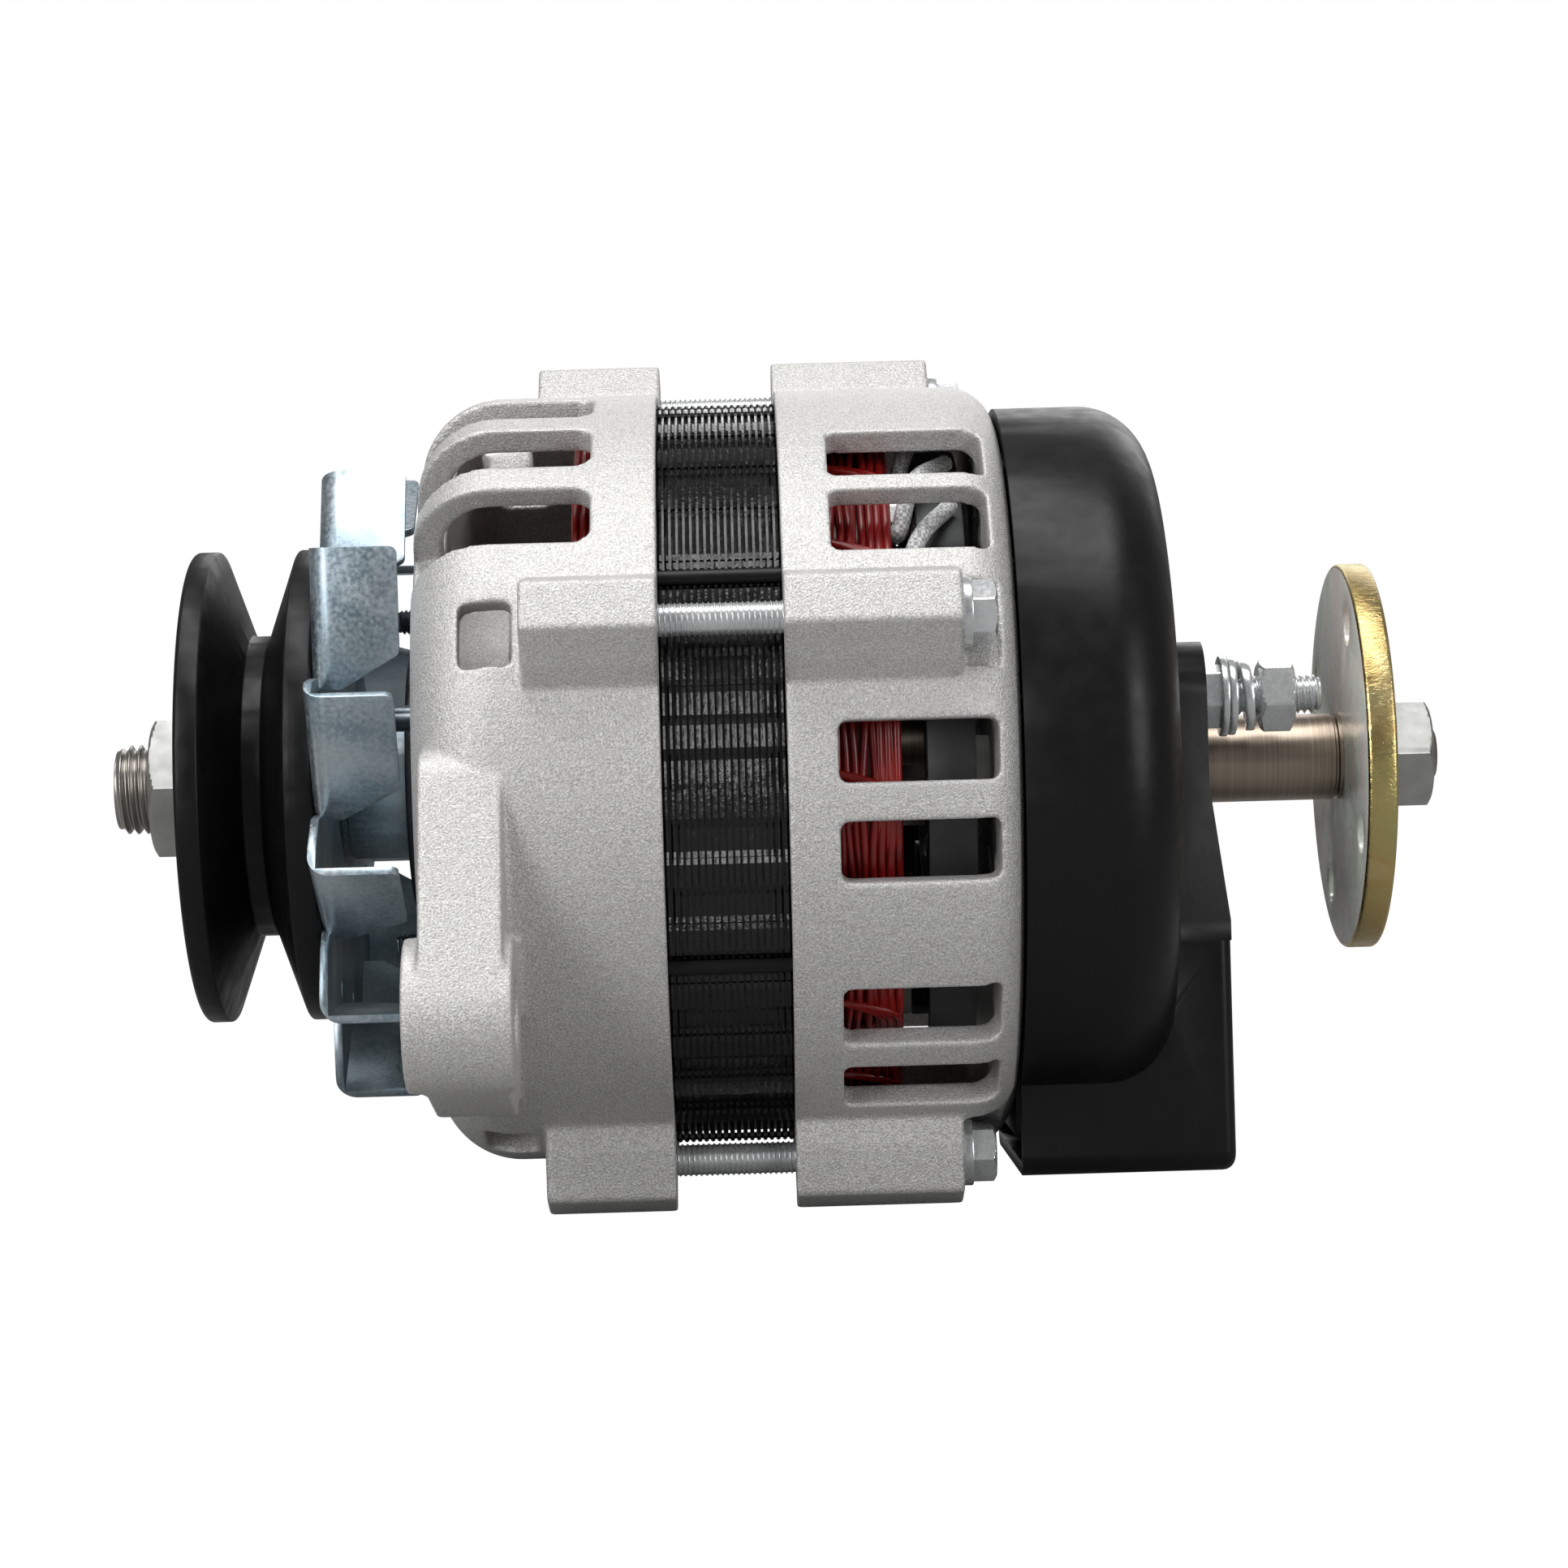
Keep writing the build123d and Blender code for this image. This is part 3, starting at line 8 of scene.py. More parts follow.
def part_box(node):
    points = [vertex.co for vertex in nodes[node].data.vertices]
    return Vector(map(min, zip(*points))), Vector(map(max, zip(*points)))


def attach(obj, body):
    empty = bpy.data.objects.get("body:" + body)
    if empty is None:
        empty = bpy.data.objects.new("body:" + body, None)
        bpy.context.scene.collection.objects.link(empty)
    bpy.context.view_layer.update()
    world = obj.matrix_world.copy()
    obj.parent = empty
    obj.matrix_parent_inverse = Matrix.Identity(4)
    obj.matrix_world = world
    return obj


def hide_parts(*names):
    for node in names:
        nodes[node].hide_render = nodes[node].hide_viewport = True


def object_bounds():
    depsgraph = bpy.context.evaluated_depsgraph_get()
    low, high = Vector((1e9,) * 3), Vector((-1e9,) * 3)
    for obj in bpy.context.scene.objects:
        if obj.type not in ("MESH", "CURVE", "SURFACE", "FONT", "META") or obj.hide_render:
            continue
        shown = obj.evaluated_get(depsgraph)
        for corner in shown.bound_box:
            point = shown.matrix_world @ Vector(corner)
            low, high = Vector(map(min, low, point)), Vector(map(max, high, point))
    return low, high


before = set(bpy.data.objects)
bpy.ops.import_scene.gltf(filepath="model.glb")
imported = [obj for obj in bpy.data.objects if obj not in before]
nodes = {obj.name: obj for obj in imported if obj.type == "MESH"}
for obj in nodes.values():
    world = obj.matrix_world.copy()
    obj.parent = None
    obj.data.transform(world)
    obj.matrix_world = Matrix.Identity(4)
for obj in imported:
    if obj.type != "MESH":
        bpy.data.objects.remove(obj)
bounds_at_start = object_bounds()
MM = 0.001
TURN = 2 * math.pi
MERGE = 1e-6

# Places and sizes that the boxes of the frame don't give
STATOR_SLOTS = 36
FIRST_SLOT = math.radians(149.7)
WELD_BARS = 6
BOLTS = 4
FIRST_BOLT = math.radians(69.4)
BOLT_CIRCLE = 62.0 * MM
RETAINER_SCREW_CIRCLE = 27.0 * MM
LEAD_ANGLES = (149, 134, 119)
CHAMFER_SHARES = (0, 0.12, 0.25, 0.4, 0.6, 0.8, 1)


# ---------------------------------------------------------------------------
# Materials
# ---------------------------------------------------------------------------

class Shader:
    """A principled material with helpers for procedural detail in object space."""

    def __init__(self, name, color, metallic=0.0, roughness=0.5, **sockets):
        self.material = bpy.data.materials.new(name)
        self.material.use_nodes = True
        self.tree = self.material.node_tree
        self.principled = self.tree.nodes["Principled BSDF"]
        self.set("Base Color", (*color, 1))
        self.set("Metallic", metallic)
        self.set("Roughness", roughness)
        for socket, value in sockets.items():
            self.set(socket.replace("_", " "), value)
        self.place = self.add("ShaderNodeTexCoord").outputs["Object"]
        self.height = None

    def add(self, kind, **values):
        node = self.tree.nodes.new(kind)
        for name, value in values.items():
            if name in node.bl_rna.properties:
                setattr(node, name, value)
            else:
                node.inputs[name.replace("_", " ")].default_value = value
        return node

    def link(self, output, target):
        self.tree.links.new(output, target)

    def set(self, socket, value):
        self.principled.inputs[socket].default_value = value

    def stretched(self, scale):
        mapping = self.add("ShaderNodeMapping", Scale=scale)
        self.link(self.place, mapping.inputs["Vector"])
        return mapping.outputs["Vector"]

    def noise(self, scale, detail=3.0, stretch=None, distortion=0.0):
        noise = self.add("ShaderNodeTexNoise", Scale=scale, Detail=detail, Distortion=distortion)
        self.link(self.stretched(stretch) if stretch else self.place, noise.inputs["Vector"])
        return noise.outputs["Fac"]

    def ramp(self, value, *stops):
        ramp = self.add("ShaderNodeValToRGB").color_ramp
        node = self.tree.nodes[-1]
        while len(ramp.elements) < len(stops):
            ramp.elements.new(0.5)
        for element, (position, color) in zip(ramp.elements, stops):
            element.position = position
            element.color = (*color, 1) if len(color) == 3 else color
        self.link(value, node.inputs["Fac"])
        return node.outputs["Color"]

    def span(self, value, low, high):
        """Maps the middle of a noise onto a range."""
        node = self.add("ShaderNodeMapRange")
        node.inputs["From Min"].default_value = 0.3
        node.inputs["From Max"].default_value = 0.7
        node.inputs["To Min"].default_value = low
        node.inputs["To Max"].default_value = high
        self.link(value, node.inputs["Value"])
        return node.outputs["Result"]

    def bump(self, value, distance, strength=1.0):
        node = self.add("ShaderNodeBump", Distance=distance, Strength=strength)
        self.link(value, node.inputs["Height"])
        if self.height:
            self.link(self.height, node.inputs["Normal"])
        self.height = node.outputs["Normal"]
        self.link(self.height, self.principled.inputs["Normal"])

    def color(self, output):
        self.link(output, self.principled.inputs["Base Color"])

    def roughness(self, output):
        self.link(output, self.principled.inputs["Roughness"])


def cast_aluminium():
    """Blasted casting: a speckled grain over a slow unevenness."""
    s = Shader("cast_aluminium", (0.60, 0.59, 0.575), metallic=0.5, roughness=0.5)
    grain = s.noise(3600, 2.0)
    s.color(s.ramp(
        grain,
        (0.32, (0.44, 0.433, 0.42)),
        (0.52, (0.63, 0.622, 0.608)),
        (0.72, (0.83, 0.822, 0.805)),
    ))
    s.roughness(s.span(s.noise(900), 0.40, 0.58))
    s.bump(grain, 0.0002, 0.85)
    s.bump(s.noise(260), 0.0004, 0.12)
    return s.material


def zinc(name, dark, middle, pale, cloud, roughness, skin=0.00006, metallic=1.0):
    """Bright zinc plate: soft clouds with a fine spangle over them."""
    s = Shader(name, middle, metallic=metallic)
    spangle = s.noise(1500, 1.0)
    clouds = s.noise(cloud, 4.0, distortion=0.5)
    blend = s.add("ShaderNodeMath", operation="MULTIPLY_ADD")
    s.link(spangle, blend.inputs[0])
    blend.inputs[1].default_value = 0.45
    s.link(clouds, blend.inputs[2])
    s.color(s.ramp(blend.outputs[0], (0.52, dark), (0.72, middle), (0.92, pale)))
    s.roughness(s.span(spangle, *roughness))
    s.bump(spangle, skin, 0.4)
    return s.material


def black_paint(name, color, roughness, grain, distance, ring=0.0):
    """Paint with a fine skin; ring adds the faint turning lines of a lathe under it."""
    s = Shader(name, color, roughness=sum(roughness) / 2, Specular_IOR_Level=0.26)
    s.roughness(s.span(s.noise(300), *roughness))
    s.bump(s.noise(grain), distance, 0.35)
    if ring:
        s.bump(s.noise(60, 2.0, stretch=(ring, 0.02, 0.02)), 0.00004, 0.5)
    return s.material


def turned(name, dark, middle, pale, line=60):
    """Steel with fine lines round the X axis."""
    s = Shader(name, middle, metallic=1.0)
    lines = s.noise(40, 3.0, stretch=(line, 0.05, 0.05))
    s.color(s.ramp(lines, (0.3, dark), (0.55, middle), (0.75, pale)))
    s.roughness(s.span(lines, 0.26, 0.38))
    s.bump(lines, 0.00003, 0.35)
    return s.material


def bright_steel():
    s = Shader("bright_steel", (0.62, 0.62, 0.60), metallic=1.0, roughness=0.34)
    s.color(s.ramp(
        s.noise(240, 3.0),
        (0.3, (0.38, 0.38, 0.365)),
        (0.55, (0.45, 0.45, 0.435)),
        (0.8, (0.52, 0.52, 0.51)),
    ))
    s.roughness(s.span(s.noise(500), 0.40, 0.52))
    s.bump(s.noise(900), 0.00004, 0.35)
    return s.material


def flange_plate(rim_radius):
    """Yellow zinc: a pale, faintly rainbow face and a golden rim with a wrinkled skin."""
    s = Shader("flange_plate", (0.70, 0.56, 0.25), metallic=1.0, roughness=0.3)
    drift = s.noise(42, 2.5, distortion=1.2)
    face = s.ramp(
        drift,
        (0.30, (0.84, 0.72, 0.71)),
        (0.44, (0.88, 0.84, 0.76)),
        (0.54, (0.78, 0.86, 0.76)),
        (0.64, (0.88, 0.79, 0.79)),
        (0.78, (0.90, 0.87, 0.82)),
    )
    rim = s.ramp(
        drift,
        (0.30, (0.54, 0.48, 0.20)),
        (0.46, (0.58, 0.42, 0.17)),
        (0.58, (0.70, 0.56, 0.27)),
        (0.72, (0.62, 0.62, 0.32)),
    )
    split = s.add("ShaderNodeSeparateXYZ")
    s.link(s.place, split.inputs[0])
    flat = s.add("ShaderNodeCombineXYZ")
    s.link(split.outputs["Y"], flat.inputs["Y"])
    s.link(split.outputs["Z"], flat.inputs["Z"])
    reach = s.add("ShaderNodeVectorMath", operation="LENGTH")
    s.link(flat.outputs[0], reach.inputs[0])
    outside = s.add("ShaderNodeMath", operation="GREATER_THAN")
    s.link(reach.outputs["Value"], outside.inputs[0])
    outside.inputs[1].default_value = rim_radius
    metal = s.add("ShaderNodeMath", operation="MULTIPLY_ADD")
    s.link(outside.outputs[0], metal.inputs[0])
    metal.inputs[1].default_value = 0.8
    metal.inputs[2].default_value = 0.2
    s.link(metal.outputs[0], s.principled.inputs["Metallic"])
    mix = s.add("ShaderNodeMix", data_type="RGBA")
    s.link(outside.outputs[0], mix.inputs["Factor"])
    s.link(face, mix.inputs[6])
    s.link(rim, mix.inputs[7])
    s.color(mix.outputs[2])
    s.roughness(s.span(s.noise(260), 0.2, 0.38))
    wrinkle = s.add("ShaderNodeMath", operation="MULTIPLY")
    s.link(s.noise(1100, 3.0, stretch=(0.5, 1, 1), distortion=2.0), wrinkle.inputs[0])
    s.link(outside.outputs[0], wrinkle.inputs[1])
    s.bump(wrinkle.outputs[0], 0.00018, 0.5)
    s.bump(s.noise(800), 0.00005, 0.4)
    return s.material


def lacquered_sheets():
    s = Shader("lacquered_sheets", (0.004, 0.004, 0.0045), roughness=0.2, Specular_IOR_Level=0.5)
    s.roughness(s.span(s.noise(700), 0.08, 0.3))
    s.bump(s.noise(1200), 0.00012, 0.6)
    return s.material


def enamelled_wire():
    s = Shader("enamelled_wire", (0.30, 0.012, 0.01), roughness=0.25, Specular_IOR_Level=0.5)
    s.color(s.ramp(
        s.noise(90, 3.0),
        (0.35, (0.12, 0.004, 0.004)),
        (0.6, (0.30, 0.012, 0.01)),
        (0.8, (0.42, 0.03, 0.02)),
    ))
    return s.material


def braid():
    """Woven glass sleeve."""
    s = Shader("braid", (0.62, 0.62, 0.61), roughness=0.7, Sheen_Weight=0.3)
    weave = s.add("ShaderNodeTexChecker", Scale=1700)
    s.link(s.place, weave.inputs["Vector"])
    s.color(s.ramp(weave.outputs["Fac"], (0.0, (0.34, 0.35, 0.37)), (1.0, (0.74, 0.74, 0.73))))
    s.bump(weave.outputs["Fac"], 0.0002, 0.7)
    return s.material


def plain(name, color, metallic=0.0, roughness=0.5, grain=700, distance=0.0001, **sockets):
    s = Shader(name, color, metallic=metallic, roughness=roughness, **sockets)
    low = tuple(c * 0.75 for c in color)
    high = tuple(min(1, c * 1.2) for c in color)
    s.color(s.ramp(s.noise(grain / 6), (0.3, low), (0.55, color), (0.8, high)))
    s.bump(s.noise(grain), distance, 0.5)
    return s.material


MATERIAL = {
    "cast": cast_aluminium(),
    "zinc": zinc(
        "zinc", (0.62, 0.64, 0.65), (0.70, 0.715, 0.725), (0.77, 0.78, 0.785),
        cloud=90, roughness=(0.22, 0.30), skin=0.000004, metallic=0.72,
    ),
    "fan_zinc": zinc(
        "fan_zinc", (0.28, 0.36, 0.42), (0.43, 0.51, 0.56), (0.58, 0.64, 0.68),
        cloud=60, roughness=(0.36, 0.50),
    ),
    "cover": black_paint("cover_black", (0.0045, 0.0045, 0.005), (0.30, 0.42), 900, 0.00004),
    "pulley": black_paint("pulley_black", (0.004, 0.004, 0.004), (0.32, 0.46), 1100, 0.00005, ring=25),
    "turned": turned("turned_steel", (0.27, 0.215, 0.17), (0.38, 0.315, 0.255), (0.50, 0.43, 0.36)),
    "thread": turned("thread_steel", (0.30, 0.28, 0.26), (0.42, 0.40, 0.375), (0.55, 0.53, 0.51)),
    "bright": bright_steel(),
    "gold": flange_plate(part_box("drive_flange")[1].z - 0.55 * MM),
    "sheets": lacquered_sheets(),
    "wire": enamelled_wire(),
    "braid": braid(),
    "dark_steel": plain("dark_steel", (0.035, 0.036, 0.04), roughness=0.42),
    "dark_zinc": plain("dark_zinc", (0.20, 0.22, 0.24), metallic=1.0, roughness=0.3),
    "sink": plain("sink_grey", (0.06, 0.062, 0.064), metallic=0.3, roughness=0.5),
    "pole": plain("pole_iron", (0.13, 0.125, 0.12), metallic=0.8, roughness=0.5),
    "fan_grey": plain("fan_grey", (0.36, 0.36, 0.35), metallic=0.9, roughness=0.42),
    "white": plain("white_plastic", (0.74, 0.74, 0.72), roughness=0.45),
    "black": plain("black_plastic", (0.02, 0.02, 0.02), roughness=0.5),
    "copper": plain("copper", (0.66, 0.34, 0.20), metallic=1.0, roughness=0.35),
}


# ---------------------------------------------------------------------------
# Making pieces
# ---------------------------------------------------------------------------

def mesh_object(name, vertices, faces, smooth=True):
    mesh = bpy.data.meshes.new(name)
    mesh.from_pydata(vertices, [], faces)
    mesh.validate()
    if smooth:
        mesh.shade_smooth()
    piece = bpy.data.objects.new(name, mesh)
    bpy.context.scene.collection.objects.link(piece)
    return piece


def settle(piece, body, material, replaces=()):
    """Gives a new piece its material and ties it to its body."""
    piece.data.materials.append(MATERIAL[material])
    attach(piece, body)
    if replaces:
        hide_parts(*replaces)
    return piece


def around(x, radius, angle, center=(0, 0)):
    """Point at a radius and an angle round an axis along X; the angle runs from +Y to +Z."""
    return (x, center[0] + radius * math.cos(angle), center[1] + radius * math.sin(angle))


def lathe(name, outline, center=(0, 0), steps=96):
    """A closed outline of (x, radius) points turned about an axis along X."""
    angles = [TURN * step / steps for step in range(steps)]
    vertices = [around(x, radius, angle, center) for angle in angles for x, radius in outline]
    count = len(outline)
    faces = []
    for step in range(steps):
        here = step * count
        there = (step + 1) % steps * count
        for i in range(count):
            j = (i + 1) % count
            faces.append((here + i, here + j, there + j, there + i))
    piece = mesh_object(name, vertices, faces)
    piece.modifiers.new("merge", "WELD").merge_threshold = MERGE
    split = piece.modifiers.new("edges", "EDGE_SPLIT")
    split.split_angle = math.radians(32)
    return piece


def hexagon_piece(start, end, flats, bore, center, turn=0.0, chamfer=(0.0, 0.0), slope=0.58, steps=144):
    """Vertices and faces of a nut or a bolt head whose ends are cut to a cone."""
    apothem = flats / 2
    corner = apothem / math.cos(math.pi / 6)
    rings = [(start, bore, False)]
    for share in CHAMFER_SHARES:
        rings.append((start + share * (corner - apothem + chamfer[0]) * slope, None, True))
    for share in reversed(CHAMFER_SHARES):
        rings.append((end - share * (corner - apothem + chamfer[1]) * slope, None, True))
    rings.append((end, bore, False))
    vertices = []
    for x, fixed, outer in rings:
        for step in range(steps):
            angle = TURN * step / steps
            if outer:
                local = (angle - turn) % (math.pi / 3) - math.pi / 6
                radius = apothem / math.cos(local)
                if chamfer[0]:
                    radius = min(radius, apothem - chamfer[0] + (x - start) / slope)
                if chamfer[1]:
                    radius = min(radius, apothem - chamfer[1] + (end - x) / slope)
            else:
                radius = fixed
            vertices.append(around(x, radius, angle, center))
    count = len(rings)
    faces = []
    for ring in range(count):
        after = (ring + 1) % count
        if after == 0 and bore == 0:
            continue
        here, there = ring * steps, after * steps
        for step in range(steps):
            other = (step + 1) % steps
            faces.append((here + step, there + step, there + other, here + other))
    return vertices, faces


def sharpen(piece, angle=24):
    """Keeps the edges of a smooth shaded mesh crisp."""
    piece.modifiers.new("merge", "WELD").merge_threshold = MERGE
    piece.modifiers.new("edges", "EDGE_SPLIT").split_angle = math.radians(angle)
    return piece


def smooth_route(stops, steps=10):
    """A curve through the stops, as a list of points."""
    points = [Vector(stop) for stop in stops]
    points = [points[0] * 2 - points[1]] + points + [points[-1] * 2 - points[-2]]
    route = []
    for i in range(1, len(points) - 2):
        before, here, there, after = points[i - 1:i + 3]
        for step in range(steps):
            t = step / steps
            route.append(0.5 * (
                2 * here + (there - before) * t
                + (2 * before - 5 * here + 4 * there - after) * t ** 2
                + (3 * here - before - 3 * there + after) * t ** 3
            ))
    route.append(points[-2])
    return route


def thread_mesh(start, end, major, pitch, depth, center=(0, 0), steps=40, rows_per_turn=8):
    """Vertices and faces of a screw thread along X, running out at both ends."""
    rows = max(2, round((end - start) / pitch * rows_per_turn))
    vertices = []
    for row in range(rows + 1):
        x = start + (end - start) * row / rows
        runout = min(1, (x - start) / pitch, (end - x) / pitch)
        for step in range(steps):
            phase = (x / pitch - step / steps) % 1
            crest = (1 - min(1, abs(phase - 0.5) * 2.3)) * max(0, runout)
            vertices.append(around(x, major - depth + depth * crest, TURN * step / steps, center))
    faces = []
    for row in range(rows):
        here, there = row * steps, (row + 1) * steps
        for step in range(steps):
            after = (step + 1) % steps
            faces.append((here + step, here + after, there + after, there + step))
    faces.append(tuple(reversed(range(steps))))
    faces.append(tuple(range(rows * steps, (rows + 1) * steps)))
    return vertices, faces


def join_meshes(name, parts):
    """One piece from several lists of vertices and faces."""
    vertices, faces = [], []
    for part_vertices, part_faces in parts:
        shift = len(vertices)
        vertices += part_vertices
        faces += [tuple(i + shift for i in face) for face in part_faces]
    return mesh_object(name, vertices, faces)


def wire(name, routes, radius, cyclic=False, sides=3):
    """Round wires through lists of points."""
    curve = bpy.data.curves.new(name, "CURVE")
    curve.dimensions = "3D"
    curve.bevel_depth = radius
    curve.bevel_resolution = sides
    curve.use_fill_caps = True
    for route in routes:
        spline = curve.splines.new("POLY")
        spline.points.add(len(route) - 1)
        for point, place in zip(spline.points, route):
            point.co = (*place, 1)
        spline.use_cyclic_u = cyclic
    piece = bpy.data.objects.new(name, curve)
    bpy.context.scene.collection.objects.link(piece)
    return piece


def finish_node(name, material, edge=0.25 * MM, angle=35):
    """A CAD node keeps its shape and gets its material and slightly broken edges."""
    node = nodes[name]
    node.data.materials.clear()
    node.data.materials.append(MATERIAL[material])
    weld = node.modifiers.new("weld", "WELD")
    weld.merge_threshold = MERGE
    if edge:
        bevel = node.modifiers.new("bevel", "BEVEL")
        bevel.width = edge
        bevel.segments = 2
        bevel.limit_method = "ANGLE"
        bevel.angle_limit = math.radians(angle)
        bevel.harden_normals = True
    node.data.shade_smooth()
    if not edge:
        split = node.modifiers.new("split", "EDGE_SPLIT")
        split.split_angle = math.radians(angle)


def cast_node(name, material, cell, rounds):
    """A casting: every edge and inner corner is softened as in a mould."""
    node = nodes[name]
    node.data.materials.clear()
    node.data.materials.append(MATERIAL[material])
    node.modifiers.new("weld", "WELD").merge_threshold = MERGE
    remesh = node.modifiers.new("remesh", "REMESH")
    remesh.mode = "VOXEL"
    remesh.voxel_size = cell
    remesh.use_smooth_shade = True
    soften = node.modifiers.new("soften", "SMOOTH")
    soften.factor = 0.5
    soften.iterations = rounds


# ---------------------------------------------------------------------------
# Plain nodes
# ---------------------------------------------------------------------------

FINISHES = {
    "belt_pulley": ("pulley", 0.25 * MM),
    "spacer_collar": ("fan_zinc", 0.2 * MM),
    "dust_disc": ("dark_steel", 0.2 * MM),
    "cooling_fan": ("fan_zinc", 0.22 * MM),
    "drive_flange": ("gold", 0.25 * MM),
    "rear_cover": ("cover", 0.4 * MM),
    "rectifier_heat_sink": ("sink", 0.2 * MM),
    "rectifier_diodes": ("dark_zinc", 0.2 * MM),
    "rectifier_insulators": ("white", 0.1 * MM),
    "rectifier_bolts": ("zinc", 0.1 * MM),
    "output_link_bolt": ("zinc", 0.1 * MM),
    "output_link_nut": ("zinc", 0.1 * MM),
    "output_busbar": ("copper", 0.1 * MM),
    "bearing_retainer": ("zinc", 0.1 * MM),
    "front_claw_pole": ("pole", 0.4 * MM),
    "rear_claw_pole": ("pole", 0.4 * MM),
    "internal_fan": ("fan_grey", 0.15 * MM),
    "coil_bobbin": ("black", 0.1 * MM),
    "field_coil": ("wire", 0),
    "slip_ring_hub": ("black", 0.1 * MM),
    "slip_rings": ("copper", 0.1 * MM),
    "brush_holder": ("black", 0.2 * MM),
    "brushes": ("dark_steel", 0.1 * MM),
    "voltage_regulator": ("sink", 0.2 * MM),
    "regulator_screws": ("zinc", 0),
    "cover_screws": ("zinc", 0.2 * MM),
    "pulley_key": ("turned", 0),
    "front_bearing_inner_ring": ("bright", 0.2 * MM),
    "front_bearing_outer_ring": ("bright", 0.2 * MM),
    "front_bearing_balls": ("bright", 0),
    "rear_bearing_inner_ring": ("bright", 0.2 * MM),
    "rear_bearing_outer_ring": ("bright", 0.2 * MM),
    "rear_bearing_balls": ("bright", 0),
}
for node_name, (finish_name, edge_width) in FINISHES.items():
    finish_node(node_name, finish_name, edge_width)
cast_node("front_bracket", "cast", 0.42 * MM, 5)
cast_node("rear_bracket", "cast", 0.42 * MM, 5)


# ---------------------------------------------------------------------------
# Stator core: lacquered sheets with notched rims
# ---------------------------------------------------------------------------

def notched_rim(radius, floor, count, share, start, per_side=6):
    """Radius and angle of each point round a rim with one notch per slot and softened corners."""
    points = []
    pitch = TURN / count
    land = pitch * (1 - share)
    notch = pitch * share
    softness = (radius - floor) * 0.28
    for number in range(count):
        begin = start + number * pitch - land - notch / 2
        for step in range(per_side + 1):
            edge = softness if step in (0, per_side) else 0
            points.append((radius - edge, begin + land * step / per_side))
        for step in range(per_side + 1):
            edge = softness if step in (0, per_side) else 0
            points.append((floor + edge, begin + land + notch * step / per_side))
    return points


def make_sheets():
    low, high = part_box("stator_core")
    radius = high.z
    sheet, gap, ridge = 0.62 * MM, 0.38 * MM, 0.16 * MM
    depth, notch = 14 * MM, 1.15 * MM
    core_inset, core_depth, core_past_bore = 0.2 * MM, 1.7 * MM, 1.5 * MM
    bore = radius - depth
    parts = []
    count = round((high.x - low.x) / (sheet + gap))
    step = (high.x - low.x + gap) / count
    rim = notched_rim(radius, radius - notch, STATOR_SLOTS, 0.5, FIRST_SLOT)
    ring = len(rim)
    for number in range(count):
        x0 = low.x + number * step
        x1 = x0 + step - gap
        middle = (x0 + x1) / 2
        vertices = []
        for x, fall in ((x0, ridge), (middle, 0), (x1, ridge)):
            vertices += [around(x, r - fall, a) for r, a in rim]
        for x in (x0, x1):
            vertices += [around(x, bore, a) for r, a in rim]
        faces = []
        for i in range(ring):
            j = (i + 1) % ring
            faces.append((i, j, ring + j, ring + i))
            faces.append((ring + i, ring + j, 2 * ring + j, 2 * ring + i))
            faces.append((i, 3 * ring + i, 3 * ring + j, j))
            faces.append((2 * ring + i, 2 * ring + j, 4 * ring + j, 4 * ring + i))
        parts.append((vertices, faces))
    piece = join_meshes("lamination_stack", parts)
    piece.data.shade_flat()
    settle(piece, "housing", "sheets", ["stator_core"])
    core_outline = [
        (low.x + core_inset, radius - core_depth),
        (high.x - core_inset, radius - core_depth),
        (high.x - core_inset, bore - core_past_bore),
        (low.x + core_inset, bore - core_past_bore),
    ]
    settle(lathe("lamination_core", core_outline), "housing", "sheets")


def make_weld_bars():
    """Beads that join the sheets, at the foot of six of the rim's notches."""
    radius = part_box("stator_core")[1].z
    tuck = 2 * MM
    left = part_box("front_bracket")[1].x - tuck
    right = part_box("rear_bracket")[0].x + tuck
    foot, swell = 1.0 * MM, 0.85 * MM
    half_width = math.radians(1.25)
    steps = 6
    parts = []
    for number in range(WELD_BARS):
        angle = FIRST_SLOT + TURN * number / WELD_BARS
        rows = []
        for x in (left, right):
            for step in range(steps + 1):
                share = step / steps
                crown = math.sin(math.pi * share) ** 0.4
                rows.append(around(x, radius - foot + swell * crown, angle + half_width * (share * 2 - 1)))
        faces = [(i, i + 1, steps + 2 + i, steps + 1 + i) for i in range(steps)]
        parts.append((rows, faces))
    settle(join_meshes("weld_bars", parts), "housing", "cover")


make_sheets()
make_weld_bars()


# ---------------------------------------------------------------------------
# Stator winding: bundles of enamelled wire
# ---------------------------------------------------------------------------

